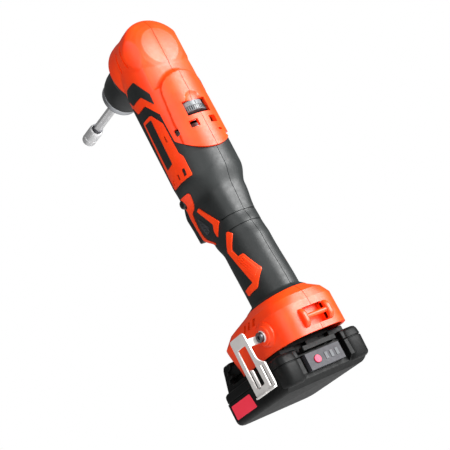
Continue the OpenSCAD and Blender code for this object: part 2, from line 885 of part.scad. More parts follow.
module chuck_jaw(index) {
  color(steel) difference() {
    on_jaw(index) cylinder(h = jaw_l, r = jaw_r);
    translate([0, 0, spindle_z]) rotate([120 * index, 0, 0])
      block([-chuck_x - 2 * chuck_l, -chuck_l, -chuck_l], [0, chuck_l, shank_af / 2 + jaw_gap]);
  }
}

socket_gap = 0.1;
socket_l = 12;
module hex_along_x(x0, x1, across) {
  translate([x0, 0, spindle_z]) rotate([0, 90, 0]) rotate([0, 0, 30])
    cylinder(h = x1 - x0, r = across / 2 / cos(30), $fn = 6);
}
module bit_holder() {
  nose_x = chuck_x + chuck_l;
  holder_x = nose_x + shank_free;
  tip_x = holder_x + holder_l;
  recess = holder_l / 10;
  color(steel) difference() {
    union() {
      hex_along_x(-holder_x - recess - join, -nose_x + shank_in, shank_af);
      difference() {
        spindle_cylinder(-tip_x, -holder_x, holder_d / 2);
        spindle_cylinder(-holder_x - recess, -holder_x + overrun, holder_d / 2 - recess / 2);
      }
    }
    hex_along_x(-tip_x - overrun, -tip_x + socket_l, shank_af + 2 * socket_gap);
  }
}

// Motor
can_t = 1.2;
can_end_t = 1.5;
bush_r = 4;
bush_l = 4;
end_floor = 2;
magnet_t = 3;
magnet_angle = 140;
magnet_rise = 6;
magnet_drop = 9;
magnet_z = can_z + magnet_rise;
magnet_top = can_top_z - magnet_drop;
rotor_r = 12.6;
commutator_r = 4.6;
brush_l = 6;
brush_w = 4;
brush_h = 5;
end_cap_z = can_z - end_cap_h;
rotor_bottom = end_cap_z - overrun;

module motor_can() {
  color(steel) difference() {
    upright(0, 0, can_z, can_top_z, can_r);
    upright(0, 0, can_z - overrun, can_top_z - can_end_t, can_r - can_t);
    upright(0, 0, can_z, can_top_z + overrun, bush_r);
  }
}

module motor_magnets() {
  outer = can_r - can_t;
  color(dark_steel) for (a = [0, 180]) rotate([0, 0, a - magnet_angle / 2])
    rotate_extrude(angle = magnet_angle)
      translate([outer - magnet_t, magnet_z]) square([magnet_t, magnet_top - magnet_z]);
}

module motor_end_cap() {
  color(case_black) difference() {
    upright(0, 0, end_cap_z, can_z, can_r);
    upright(0, 0, end_cap_z + end_floor, can_z + overrun, can_r - 3 * can_t);
    upright(0, 0, end_cap_z - overrun, can_z, bush_r);
  }
}

module motor_brushes() {
  color(dark_steel) for (s = [0, 1]) mirror([0, s, 0])
    block([-brush_w / 2, commutator_r + running_gap, end_cap_z + end_floor],
      [brush_w / 2, commutator_r + running_gap + brush_l, end_cap_z + end_floor + brush_h]);
}

module motor_bushes() {
  color(brass) for (z = [end_cap_z, can_top_z - bush_l + clearance])
    ring(z, z + bush_l, bush_r, motor_shaft_r + running_gap);
}

module rotor_shaft() {
  color(steel) upright(0, 0, rotor_bottom, gear_z + gear_face, motor_shaft_r);
}

module rotor_core() {
  slots = 5;
  slot_w = rotor_r / 4;
  color(copper) difference() {
    upright(0, 0, magnet_z - join, magnet_top, rotor_r);
    upright(0, 0, magnet_z - 2 * join, magnet_top + overrun, motor_shaft_r);
    for (i = [0:slots - 1]) rotate([0, 0, i * 360 / slots])
      block([rotor_r / 2, -slot_w / 2, magnet_z - 2 * join],
        [rotor_r + overrun, slot_w / 2, magnet_top + overrun]);
  }
}

module commutator() {
  low = end_cap_z + bush_l + clearance;
  color(copper) ring(low, magnet_z - join, commutator_r, motor_shaft_r);
}

module cooling_fan() {
  blades = 8;
  fan_z = magnet_top + clearance;
  fan_h = 3;
  hub_r = bush_r;
  color(case_black) difference() {
    union() {
      upright(0, 0, fan_z, fan_z + can_t, rotor_r);
      upright(0, 0, fan_z, fan_z + fan_h, hub_r);
      for (i = [0:blades - 1]) rotate([0, 0, i * 360 / blades])
        block([hub_r - join, -can_t / 2, fan_z], [rotor_r, can_t / 2, fan_z + fan_h]);
    }
    upright(0, 0, fan_z - overrun, fan_z + fan_h + overrun, motor_shaft_r);
  }
}

module gearbox_plate() {
  color(alloy) ring(plate_z, plate_z + plate_t, section_bore - clearance, sun_pitch_r + dedendum + addendum);
}

// Speed dial
dial_pin_r = 2;
board_t = 1.6;
board_z = dial_z - dial_bay_h / 2 - board_t / 2;
dial_board_x = 9;
module dial_board() {
  color(board_green) {
    intersection() {
      upright(0, 0, board_z, board_z + board_t, section_bore - clearance);
      block([dial_board_x, -section_r, board_z], [section_r, section_r, board_z + board_t]);
    }
    upright(dial_x, 0, board_z + board_t, dial_z - clearance, 2 * dial_pin_r);
    upright(dial_x, 0, board_z + board_t, dial_z + dial_h - 2 * board_t, dial_pin_r);
  }
}

module speed_dial() {
  groove = dial_h / 12;
  color(soft_grey) difference() {
    upright(dial_x, 0, dial_z, dial_z + dial_h, dial_r);
    translate([dial_x, 0, dial_z + dial_h / 2 - groove]) difference() {
      cylinder(h = 2 * groove, r = dial_r + overrun);
      cylinder(h = 2 * groove, r = dial_r - groove);
    }
    upright(dial_x, 0, dial_z - overrun, dial_z + dial_h - board_t, dial_pin_r + running_gap);
  }
}

// Trigger, its pin and spring, and the direction button
trigger_top_set = 4;
trigger_bottom_set = 2.2;
trigger_nose_share = 0.72;
module trigger() {
  color(case_black) difference() {
    translate([0, trigger_w / 2, 0]) rotate([90, 0, 0]) linear_extrude(trigger_w) polygon([
      [-trigger_front + trigger_top_set, trigger_top_z],
      [-trigger_front, trigger_z + trigger_nose_share * trigger_h],
      [-trigger_front + trigger_bottom_set, trigger_z],
      [-snout_front + 2 * bay_depth, trigger_z],
      [-trigger_rear, pivot_z - pivot_drop],
      [-trigger_rear, trigger_top_z]
    ]);
    cross_cylinder(pivot_x, pivot_z, -trigger_w, trigger_w, pivot_r + running_gap);
  }
}

module trigger_pin() {
  color(steel) cross_cylinder(pivot_x, pivot_z, wall - pivot_end, pivot_end - wall, pivot_r);
}

module switch_module() {
  color(case_black) block([-switch_front, -switch_half_w, switch_z],
    [switch_rear, switch_half_w, switch_z + switch_h]);
}

module direction_button() {
  fork_w = button_r;
  color(case_black) {
    cross_cylinder(button_x, button_z, -button_half, button_half, button_r);
    block([button_x - fork_w / 2, -fork_w, button_z - 2 * button_r],
      [button_x + fork_w / 2, fork_w, button_z]);
  }
}

// A coil of wire along +Z: one tube swept along a helix
module coil(r, wire, length, turns) {
  rings = 8 * turns;
  sides = 6;
  rise = length - 2 * wire;
  points = [for (i = [0:rings]) let (turn = 360 * turns * i / rings) for (j = [0:sides - 1])
    let (side = 360 * j / sides, out = r + wire * cos(side))
    [out * cos(turn), out * sin(turn), wire + rise * i / rings + wire * sin(side)]];
  last = rings * sides;
  walls = [for (i = [0:rings - 1]) for (j = [0:sides - 1])
    let (
      a = i * sides + j,
      b = i * sides + (j + 1) % sides,
      c = b + sides,
      d = a + sides
    ) each [[a, d, c], [a, c, b]]];
  first_cap = [for (j = [1:sides - 2]) [0, j, j + 1]];
  last_cap = [for (j = [1:sides - 2]) [last, last + j + 1, last + j]];
  polyhedron(points = points, faces = concat(walls, first_cap, last_cap), convexity = 8);
}

spring_wire = 0.4;
spring_r = 3;
spring_z = switch_z + switch_h / 2;
trigger_back_x = mix(-snout_front + 2 * bay_depth, -trigger_rear,
  (spring_z - trigger_z) / (pivot_z - pivot_drop - trigger_z));
module trigger_spring() {
  color(steel) translate([trigger_back_x + clearance, 0, spring_z]) rotate([0, 90, 0])
    coil(spring_r, spring_wire, -switch_front - trigger_back_x - clearance, 3);
}

// Wiring in the grip and the terminals in the foot
lead_r = 1.5;
lead_x = -3;
module power_leads() {
  color(gauge_red) for (s = [-1, 1])
    upright(lead_x, 2 * s * lead_r, block_z + block_h, switch_z, lead_r);
}

module terminal_block() {
  color(case_black) block([-block_front, -block_half_w, block_z],
    [block_rear, block_half_w, block_z + block_h]);
}

blade_pitch = 10;
blade_t = 0.8;
blade_front = 4;
blade_rear = 6;
blade_l = 3.6;
module terminal_blades() {
  color(brass) for (y = [-blade_pitch, 0, blade_pitch])
    block([-blade_front, y - blade_t / 2, block_z - blade_l], [blade_rear, y + blade_t / 2, block_z]);
}

// Belt clip on the left side, drawn on the right and mirrored
clip_y = battery_w / 2 + belt_gap;
clip_front = 8;
clip_z = 8;
clip_frame = 3.6;
clip_step = 16;
clip_flare = 8;
tab_h = 13;
module clip_plate() {
  rear = clip_w - clip_front;
  top = clip_z + clip_h;
  difference() {
    union() {
      block([-clip_front, clip_y, clip_z], [rear, clip_y + clip_t, top]);
      block([-clip_front, clip_y, clip_z], [rear + clip_flare, clip_y + clip_t, clip_z + clip_step]);
    }
    block([-clip_front + clip_frame, clip_y - overrun, clip_z + clip_step + clip_frame],
      [rear - clip_frame, clip_y + clip_t + overrun, top - clip_frame]);
    block([-clip_front + clip_frame, clip_y - overrun, clip_z + clip_frame],
      [rear - 2 * clip_frame, clip_y + clip_t + overrun, clip_z + clip_step]);
    block([rear - clip_frame, clip_y - overrun, clip_z + clip_frame],
      [rear + clip_flare - clip_frame, clip_y + clip_t + overrun, clip_z + clip_step - clip_frame]);
  }
  block([-clip_front, clip_y, clip_z - clip_t], [rear + clip_flare, clip_y + clip_flare / 3, clip_z]);
}
module belt_clip() {
  rear = clip_w - clip_front;
  tab_z = clip_boss_z - tab_h / 2;
  color(steel) on_side(true) {
    clip_plate();
    difference() {
      union() {
        block([rear - clip_t, clip_face, tab_z], [rear, clip_y + clip_t, tab_z + tab_h]);
        block([rear - clip_t, clip_face, tab_z],
          [clip_boss_x + clip_boss_r, clip_face + clip_t, tab_z + tab_h]);
      }
      cross_cylinder(clip_boss_x, clip_boss_z, 0, clip_y, thread_r);
    }
  }
}

module clip_inserts() {
  color(brass) for (s = [0, 1]) mirror([0, s, 0]) difference() {
    cross_cylinder(clip_boss_x, clip_boss_z, clip_face - insert_l, clip_face, insert_r);
    cross_cylinder(clip_boss_x, clip_boss_z, clip_face - insert_l - overrun, clip_face + overrun, thread_r);
  }
}

clip_head_r = 3.6;
clip_head_h = 2;
module clip_screw() {
  head_y = clip_face + clip_t;
  color(dark_steel) on_side(true) {
    cross_cylinder(clip_boss_x, clip_boss_z, clip_face - insert_l, head_y, thread_r);
    difference() {
      cross_cylinder(clip_boss_x, clip_boss_z, head_y, head_y + clip_head_h, clip_head_r);
      translate([clip_boss_x, head_y + clip_head_h / 2, clip_boss_z]) rotate([-90, 0, 0])
        cylinder(h = clip_head_h, r = thread_r, $fn = 6);
    }
  }
}

// Battery

// Rounded plan of the battery, drawn in by inset
module battery_plan(inset) {
  front = battery_front - inset;
  rear = battery_rear - inset;
  half = battery_w / 2 - inset;
  r = battery_corner - inset;
  for (x = [-front + r, rear - r]) for (y = [-half + r, half - r]) translate([x, y]) circle(r = r);
  translate([-front + r, -half]) square([front + rear - 2 * r, 2 * half]);
  translate([-front, -half + r]) square([front + rear, 2 * half - 2 * r]);
}
module battery_block(inset, z0, z1) {
  translate([0, 0, z0]) linear_extrude(z1 - z0) battery_plan(inset);
}

base_round = 5;
scoop_l = 11;
scoop_h = 7;
bay_rear = battery_rear - 2 * base_round - case_wall;
// Rounded lower edges, seen from the front, and the scoop at the rear, seen from the side
module lower_solid() {
  half = battery_w / 2;
  intersection() {
    battery_block(0, 0, seam_z);
    translate([-battery_front, 0, 0]) rotate([90, 0, 90]) linear_extrude(battery_front + battery_rear) {
      translate([-half, base_round]) square([2 * half, seam_z - base_round]);
      translate([-half + base_round, 0]) square([2 * half - 2 * base_round, seam_z]);
      for (y = [-half + base_round, half - base_round]) translate([y, base_round]) circle(r = base_round);
    }
    translate([0, half, 0]) rotate([90, 0, 0]) linear_extrude(2 * half) polygon([
      [-battery_front, seam_z],
      [-battery_front, base_round],
      [-battery_front + base_round, 0],
      [battery_rear - scoop_l, 0],
      [battery_rear, scoop_h],
      [battery_rear, seam_z]
    ]);
  }
}

// Recess between the rear pillars, with the gauge and the release key
pillar_y = 20;
recess_l = 6;
recess_x = battery_rear - recess_l;
module rear_recess() {
  block([recess_x, -pillar_y, case_wall], [battery_rear + overrun, pillar_y, battery_h + overrun]);
}
key_half_w = 8;
key_t = 4.4;
key_z = 17.5;
key_pocket_z = 13;
key_travel = 2;
module key_well() {
  block([recess_x - key_t - 2 * clearance, -key_half_w - clearance, key_pocket_z],
    [recess_x + overrun, key_half_w + clearance, battery_h + overrun]);
}

// Battery screws and their posts
pack_screw_r = 1.2;
pack_head_r = 2.2;
pack_post_r = 2.8;
pack_screw_y = battery_w / 2 - case_wall - pack_post_r - overrun;
pack_screw_front = 42;
pack_screw_rear = 6;
pack_screw_top = battery_h - 1.5 * case_wall;
module at_pack_screws() {
  for (x = [-pack_screw_front, pack_screw_rear]) for (y = [-pack_screw_y, pack_screw_y])
    translate([x, y, 0]) children();
}

module battery_lower_case() {
  color(case_black) difference() {
    lower_solid();
    difference() {
      intersection() {
        battery_block(case_wall, case_wall, seam_z + overrun);
        block([-battery_front, -battery_w, 0], [bay_rear, battery_w, battery_h]);
      }
      at_pack_screws() cylinder(h = seam_z, r = pack_post_r);
    }
    rear_recess();
    key_well();
    at_pack_screws() {
      translate([0, 0, -overrun]) cylinder(h = seam_z + 2 * overrun, r = pack_screw_r);
      translate([0, 0, -overrun]) cylinder(h = case_wall + overrun, r = pack_head_r);
    }
  }
}

cell_gap = 0.1;
cell_front = 54;
lower_cell_z = case_wall + cell_d / 2;
upper_cell_z = lower_cell_z + (cell_d + cell_gap) * sin(60);
cell_pitch = cell_d + cell_gap;
slot_floor = block_z - blade_l - 2 * clearance;
slot_half_w = 1.9;
socket_rear = 8;

module battery_upper_case() {
  room_top = upper_cell_z + cell_d / 2 + cell_gap;
  color(case_black) difference() {
    union() {
      battery_block(0, seam_z, battery_h);
      block([-tongue_front, -tongue_neck_half_w, battery_h - join],
        [tongue_rear, tongue_neck_half_w, tongue_top_z]);
      block([-tongue_front, -tongue_half_w, tongue_step_z], [tongue_rear, tongue_half_w, tongue_top_z]);
      intersection() {
        battery_block(0, seam_z, battery_h + upstand_h);
        block([-battery_front, -battery_w, 0], [-foot_front - clearance, battery_w, spindle_z]);
      }
    }
    difference() {
      intersection() {
        battery_block(case_wall, seam_z - overrun, battery_h - case_wall);
        block([-battery_front, -battery_w, 0], [bay_rear, battery_w, battery_h]);
      }
      at_pack_screws() cylinder(h = battery_h, r = pack_post_r);
    }
    block([-cell_front - case_wall, -cell_pitch - cell_gap, battery_h - 2 * case_wall],
      [cell_l - cell_front + overrun, cell_pitch + cell_gap, room_top]);
    for (y = [-blade_pitch, 0, blade_pitch])
      block([-blade_front - case_wall, y - slot_half_w, slot_floor],
        [tongue_rear + overrun, y + slot_half_w, block_z]);
    rear_recess();
    key_well();
    at_pack_screws() cylinder(h = pack_screw_top, r = pack_screw_r);
  }
}

module battery_cells() {
  color(cell_blue) {
    for (y = [-cell_pitch, 0, cell_pitch])
      translate([-cell_front, y, lower_cell_z]) rotate([0, 90, 0]) cylinder(h = cell_l, d = cell_d);
    for (y = [-cell_pitch / 2, cell_pitch / 2])
      translate([-cell_front, y, upper_cell_z]) rotate([0, 90, 0]) cylinder(h = cell_l, d = cell_d);
  }
}

module battery_board() {
  x = bay_rear - clearance - board_t;
  color(board_green) block([x, -cell_pitch, case_wall + overrun],
    [x + board_t, cell_pitch, battery_h - case_wall - overrun]);
}

module battery_sockets() {
  color(brass) for (y = [-blade_pitch, 0, blade_pitch]) difference() {
    block([-blade_front - case_wall, y - slot_half_w, slot_floor],
      [socket_rear, y + slot_half_w, tongue_top_z]);
    block([-blade_front - overrun, y - blade_t / 2 - clearance, slot_floor + clearance],
      [socket_rear + overrun, y + blade_t / 2 + clearance, tongue_top_z + overrun]);
  }
}

gauge_half_w = 15.4;
gauge_z = 6.5;
gauge_h = 12.1;
gauge_t = 4.6;
gauge_x = recess_x + gauge_t;
gauge_mid_z = gauge_z + gauge_h / 2;
lamp_w = 2.4;
lamp_h = 5;
lamp_pitch = 4.8;
first_lamp_y = 1;
lamp_t = 0.4;
gauge_button_y = -7.2;
gauge_button_r = 2.6;
gauge_button_out = 1;

module at_lamps() {
  for (i = [0:2]) translate([gauge_x, first_lamp_y + i * lamp_pitch, gauge_mid_z]) children();
}
module gauge_panel() {
  color(gauge_grey) difference() {
    block([recess_x, -gauge_half_w, gauge_z], [gauge_x, gauge_half_w, gauge_z + gauge_h]);
    translate([recess_x + lamp_t, gauge_button_y, gauge_mid_z]) rotate([0, 90, 0])
      cylinder(h = gauge_t + overrun, r = gauge_button_r + clearance);
    at_lamps() block([-lamp_t, -lamp_w / 2, -lamp_h / 2], [overrun, lamp_w / 2, lamp_h / 2]);
  }
}
module gauge_leds() {
  color(lamp_white) at_lamps() block([-lamp_t, -lamp_w / 2, -lamp_h / 2], [lamp_t, lamp_w / 2, lamp_h / 2]);
}
module gauge_button() {
  color(gauge_red) translate([recess_x + lamp_t + 2 * clearance, gauge_button_y, gauge_mid_z])
    rotate([0, 90, 0])
    cylinder(h = gauge_t - lamp_t - 2 * clearance + gauge_button_out, r = gauge_button_r);
}

lip_half_w = 15;
lip_t = 3.3;
lip_z = gauge_z + gauge_h + key_travel + clearance;
hook_half_w = 6;
module release_key() {
  back_x = recess_x - key_t - clearance;
  color(case_black) {
    block([back_x, -key_half_w, key_z], [recess_x - clearance, key_half_w, lip_z + lip_t]);
    block([back_x, -key_half_w, lip_z], [recess_x + 2 * clearance, key_half_w, lip_z + lip_t]);
    block([recess_x + clearance, -lip_half_w, lip_z], [battery_rear - clearance, lip_half_w, lip_z + lip_t]);
    block([back_x, -hook_half_w, lip_z], [recess_x - 2 * clearance, hook_half_w, foot_z - 2 * clearance]);
  }
}
release_spring_r = 1.4;
module release_spring() {
  color(steel) translate([recess_x - key_t / 2 - clearance, 0, key_pocket_z])
    coil(release_spring_r, spring_wire, key_z - key_pocket_z, 4);
}

module battery_screws() {
  color(dark_steel) at_pack_screws() {
    translate([0, 0, case_wall / 2]) cylinder(h = pack_screw_top - case_wall / 2, r = pack_screw_r);
    translate([0, 0, case_wall / 4]) cylinder(h = case_wall - case_wall / 4, r = pack_head_r);
  }
}

housing_left();
housing_right();
overmould_left();
overmould_right();
gear_case();
spindle_bearing_front();
spindle_bearing_rear();
pinion_bearing();
ring_gear();
gearbox_plate();
motor_can();
motor_magnets();
motor_end_cap();
motor_brushes();
motor_bushes();
dial_board();
switch_module();
trigger_pin();
trigger_spring();
power_leads();
terminal_block();
terminal_blades();
housing_screws();
belt_clip();
clip_screw();
clip_inserts();
rotor_shaft();
rotor_core();
commutator();
cooling_fan();
sun_gear();
planet_carrier();
bevel_pinion();
planet_gear(0);  // planet_gear_1
planet_gear(1);  // planet_gear_2
planet_gear(2);  // planet_gear_3
spindle();
bevel_gear();
chuck_body();
chuck_nose_ring();
chuck_sleeve();
chuck_nut();
chuck_jaw(0);  // chuck_jaw_1
chuck_jaw(1);  // chuck_jaw_2
chuck_jaw(2);  // chuck_jaw_3
bit_holder();
trigger();
direction_button();
speed_dial();
battery_lower_case();
battery_upper_case();
battery_cells();
battery_board();
battery_sockets();
gauge_panel();
gauge_leds();
gauge_button();
release_key();
release_spring();
battery_screws();
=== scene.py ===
"""Studio scene of a cordless right angle drill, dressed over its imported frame."""
import json
import logging
import math
from collections.abc import Callable, Sequence
from dataclasses import astuple, dataclass
from enum import Enum
from typing import ClassVar

import bmesh
import bpy
from mathutils import Matrix, Vector
from mathutils.bvhtree import BVHTree

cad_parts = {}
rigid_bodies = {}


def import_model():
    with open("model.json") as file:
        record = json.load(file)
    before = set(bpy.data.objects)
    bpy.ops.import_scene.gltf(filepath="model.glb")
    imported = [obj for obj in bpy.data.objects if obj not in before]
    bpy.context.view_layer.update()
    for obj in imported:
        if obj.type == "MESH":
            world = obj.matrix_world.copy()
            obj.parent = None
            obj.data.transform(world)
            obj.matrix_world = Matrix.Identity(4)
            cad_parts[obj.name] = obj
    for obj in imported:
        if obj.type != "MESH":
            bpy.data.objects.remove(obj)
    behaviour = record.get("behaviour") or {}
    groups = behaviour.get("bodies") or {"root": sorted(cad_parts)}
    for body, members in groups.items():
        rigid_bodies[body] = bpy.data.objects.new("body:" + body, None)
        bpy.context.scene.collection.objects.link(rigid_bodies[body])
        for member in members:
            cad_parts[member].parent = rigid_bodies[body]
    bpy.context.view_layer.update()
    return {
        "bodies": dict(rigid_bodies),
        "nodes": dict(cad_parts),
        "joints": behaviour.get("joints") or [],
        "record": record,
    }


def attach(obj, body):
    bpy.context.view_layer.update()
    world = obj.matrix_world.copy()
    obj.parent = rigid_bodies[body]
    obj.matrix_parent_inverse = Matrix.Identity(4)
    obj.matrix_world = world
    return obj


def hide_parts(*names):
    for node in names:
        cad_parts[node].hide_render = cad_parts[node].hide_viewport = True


LOG = logging.getLogger("drill")
# Metres in a millimetre, and a length in millimetres that reaches past the tool's sides.
MM = 0.001
FAR = 60.0

Point = tuple[float, float, float]
Flat = tuple[float, float]
Block = tuple[Point, Point]
Colour = tuple[int, int, int]
Solid = tuple[list[Point], list[tuple[int, ...]]]
Mapping = Callable[[float, float, float], Point]


class Side(Enum):
    """The two sides of the tool; the value is the sign of Y."""

    LEFT = -1
    RIGHT = 1

    @property
    def word(self) -> str:
        """Gives the side's name as it ends the name of a piece."""
        return self.name.lower()

    def span(self, near: float, far: float) -> Flat:
        """Gives the low and the high Y of two distances from the middle on this side."""
        return tuple(sorted((self.value * near, self.value * far)))


class Axis(Enum):
    """The axis that a revolved or extruded solid runs along."""

    X = 0
    Y = 1
    Z = 2

    def place(self, flat: Flat, along: float) -> Point:
        """Gives the point at a length along this axis, from its place on the two other axes."""
        return (*flat[:self.value], along, *flat[self.value:])


class Grain(Enum):
    """The kinds of fine surface texture."""

    MOULDED = "moulded"
    PEBBLED = "pebbled"
    BRUSHED = "brushed"


def clamped(value: float) -> float:
    """Gives the value, held between 0 and 1."""
    return max(0.0, min(1.0, value))


def circle(count: int) -> list[float]:
    """Gives the angles of evenly spaced points round a circle."""
    return [2 * math.pi * i / count for i in range(count)]


def half_circle(steps: int) -> list[float]:
    """Gives evenly spaced angles from 0 to half a turn, with both ends."""
    return [math.pi * i / steps for i in range(steps + 1)]


def linear(colour: Colour) -> Point:
    """Turns screen values into linear light by the standard screen curve.

    Args:
        colour: red, green and blue from 0 to 255.

    Returns:
        The linear colour.
    """
    shares = [value / 255.0 for value in colour]
    return tuple(s / 12.92 if s <= 0.04045 else ((s + 0.055) / 1.055) ** 2.4 for s in shares)


@dataclass(frozen=True)
class Finish:
    """A surface finish, made into one procedural material.

    Sizes are in millimetres and colours are screen values from 0 to 255.
    """

    name: str
    slot: str
    colour: Colour
    tint: Colour
    roughness: Flat
    grain: Grain = Grain.MOULDED
    grain_mm: float = 0.5
    bump: float = 0.06
    metallic: float = 0.0
    specular: float = 0.5
    mottle_mm: float = 14.0
    glow: float = 0.0

    RAMP: ClassVar[Flat] = (0.34, 0.68)
    MOTTLE_OCTAVES: ClassVar[float] = 3.0
    WEAR_OCTAVES: ClassVar[float] = 6.0
    GRAIN_OCTAVES: ClassVar[float] = 4.0
    WEAR_FINER: ClassVar[float] = 5.0
    BRUSH: ClassVar[Point] = (0.06, 1.0, 1.0)
    WHITE: ClassVar[tuple[float, ...]] = (1.0, 1.0, 1.0, 1.0)

    def material(self) -> bpy.types.Material:
        """Gives the material of this finish, made on first use."""
        found = bpy.data.materials.get(self.name)
        return found if found else self._build()

    def _build(self) -> bpy.types.Material:
        """Builds the node tree.

        Returns:
            The new material.
        """
        material = bpy.data.materials.new(self.name)
        material.use_nodes = True
        tree = material.node_tree
        shader = tree.nodes["Principled BSDF"]
        shader.inputs["Metallic"].default_value = self.metallic
        shader.inputs["Specular IOR Level"].default_value = self.specular
        shader.inputs["Emission Color"].default_value = self.WHITE
        shader.inputs["Emission Strength"].default_value = self.glow
        place = tree.nodes.new("ShaderNodeTexCoord").outputs["Object"]
        mottle = self._noise(tree, place, self.mottle_mm, self.MOTTLE_OCTAVES)
        self._ramp(tree, mottle, linear(self.colour), linear(self.tint), shader.inputs["Base Color"])
        wear = self._noise(tree, place, self.mottle_mm / self.WEAR_FINER, self.WEAR_OCTAVES)
        low, high = self.roughness
        self._ramp(tree, wear, (low,) * 3, (high,) * 3, shader.inputs["Roughness"])
        self._relief(tree, place, shader)
        return material

    def _noise(self, tree: bpy.types.NodeTree, place: bpy.types.NodeSocket, size_mm: float,
               octaves: float) -> bpy.types.NodeSocket:
        """Adds a noise texture.

        Args:
            tree: the node tree.
            place: the socket that gives the place on the piece.
            size_mm: the size of one blotch.
            octaves: how many finer layers it has.

        Returns:
            The noise's value.
        """
        noise = tree.nodes.new("ShaderNodeTexNoise")
        noise.inputs["Scale"].default_value = 1.0 / (size_mm * MM)
        noise.inputs["Detail"].default_value = octaves
        tree.links.new(place, noise.inputs["Vector"])
        return noise.outputs["Fac"]

    def _ramp(self, tree: bpy.types.NodeTree, noise: bpy.types.NodeSocket, low: Sequence[float],
              high: Sequence[float], socket: bpy.types.NodeSocket) -> None:
        """Runs a noise through a ramp into a socket.

        Args:
            tree: the node tree.
            noise: the noise's value.
            low: the ramp's colour at its start.
            high: the ramp's colour at its end.
            socket: where it goes.
        """
        ramp = tree.nodes.new("ShaderNodeValToRGB")
        for end, place, colour in zip(ramp.color_ramp.elements, self.RAMP, (low, high)):
            end.position = place
            end.color = (*colour, 1.0)
        tree.links.new(noise, ramp.inputs["Fac"])
        tree.links.new(ramp.outputs["Color"], socket)

    def _relief(self, tree: bpy.types.NodeTree, place: bpy.types.NodeSocket, shader: bpy.types.Node) -> None:
        """Adds the fine bump of the grain.

        Args:
            tree: the node tree.
            place: the socket that gives the place on the piece.
            shader: the surface shader.
        """
        bump = tree.nodes.new("ShaderNodeBump")
        bump.inputs["Strength"].default_value = self.bump
        bump.inputs["Distance"].default_value = self.grain_mm * MM
        if self.grain is Grain.PEBBLED:
            pebbles = tree.nodes.new("ShaderNodeTexVoronoi")
            pebbles.inputs["Scale"].default_value = 1.0 / (self.grain_mm * MM)
            tree.links.new(place, pebbles.inputs["Vector"])
            height = pebbles.outputs["Distance"]
        else:
            if self.grain is Grain.BRUSHED:
                stretch = tree.nodes.new("ShaderNodeMapping")
                stretch.inputs["Scale"].default_value = self.BRUSH
                tree.links.new(place, stretch.inputs["Vector"])
                place = stretch.outputs["Vector"]
            height = self._noise(tree, place, self.grain_mm, self.GRAIN_OCTAVES)
        tree.links.new(height, bump.inputs["Height"])
        tree.links.new(bump.outputs["Normal"], shader.inputs["Normal"])


ORANGE = Finish("orange_shell", "orange_plastic", (252, 58, 3), (255, 68, 6), (0.36, 0.46),
                grain_mm=0.8, bump=0.02, specular=0.45)
SOFT_GREY = Finish("soft_grey_grip", "soft_grip", (25, 28, 28), (31, 34, 34), (0.42, 0.52),
                   Grain.PEBBLED, grain_mm=0.35, bump=0.08, specular=0.4)
BLACK = Finish("black_case", "black_plastic", (10, 11, 11), (15, 16, 16), (0.44, 0.54),
               Grain.PEBBLED, grain_mm=0.3, bump=0.06, specular=0.14)
GLOSS_BLACK = Finish("smooth_black", "black_plastic", (14, 15, 16), (19, 20, 21), (0.22, 0.32),
                     grain_mm=0.6, bump=0.03)
SLEEVE_BLACK = Finish("sleeve_black", "black_plastic", (28, 30, 31), (34, 36, 37), (0.34, 0.44),
                      Grain.PEBBLED, grain_mm=0.3, bump=0.05, specular=0.45)
WHEEL_GREY = Finish("wheel_grey", "black_plastic", (104, 106, 109), (116, 118, 121), (0.3, 0.4),
                    grain_mm=0.4, bump=0.04)
STEEL = Finish("ground_steel", "bright_steel", (212, 212, 213), (224, 224, 225), (0.32, 0.4),
               Grain.BRUSHED, grain_mm=0.25, bump=0.02, metallic=0.6)
CLIP_STEEL = Finish("plated_clip", "clip_steel", (220, 216, 213), (230, 226, 223), (0.42, 0.5),
                    Grain.BRUSHED, grain_mm=0.2, bump=0.02, metallic=0.3)
# Dark steel of the CAD's dark steel parts; it also colours the ring behind the bit socket, whose darkness is
# painted shade.
DARK_STEEL_AND_SHADE = Finish("blackened_steel", "dark_steel", (74, 74, 78), (92, 92, 96), (0.34, 0.46),
                    grain_mm=0.3, bump=0.08, metallic=1.0)
ALLOY = Finish("cast_alloy", "alloy", (178, 180, 184), (196, 198, 202), (0.32, 0.46),
               grain_mm=0.5, bump=0.1, metallic=1.0)
COPPER = Finish("enamelled_copper", "copper", (196, 116, 62), (216, 138, 82), (0.3, 0.42),
                Grain.BRUSHED, grain_mm=0.4, bump=0.1, metallic=1.0)
BRASS = Finish("turned_brass", "brass", (206, 170, 84), (222, 188, 104), (0.26, 0.36),
               Grain.BRUSHED, grain_mm=0.2, bump=0.06, metallic=1.0)
BOARD = Finish("circuit_board", "board", (12, 26, 19), (18, 34, 25), (0.3, 0.45),
               grain_mm=1.0, bump=0.05)
PANEL_GREY = Finish("gauge_film", "gauge_grey", (50, 50, 54), (58, 58, 62), (0.55, 0.65),
                    grain_mm=0.3, bump=0.03, specular=0.3)
BUTTON_RED = Finish("gauge_red", "signal_red", (196, 44, 74), (210, 56, 86), (0.4, 0.5),
                    grain_mm=0.5, bump=0.03, specular=0.3)
LABEL_RED = Finish("label_red", "signal_red", (250, 50, 74), (255, 60, 84), (0.34, 0.42),
                   grain_mm=0.8, bump=0.02)
LAMP = Finish("lamp_white", "lamp", (84, 86, 88), (96, 98, 100), (0.6, 0.7),
              grain_mm=0.5, bump=0.02, specular=0.2)
CELL = Finish("cell_wrap", "cell_wrap", (66, 104, 142), (80, 120, 158), (0.3, 0.4),
              grain_mm=1.0, bump=0.03)
FLOOR = Finish("studio_floor", "", (236, 236, 236), (242, 242, 242), (0.8, 0.9),
               grain_mm=4.0, bump=0.02, mottle_mm=400.0, glow=0.35)


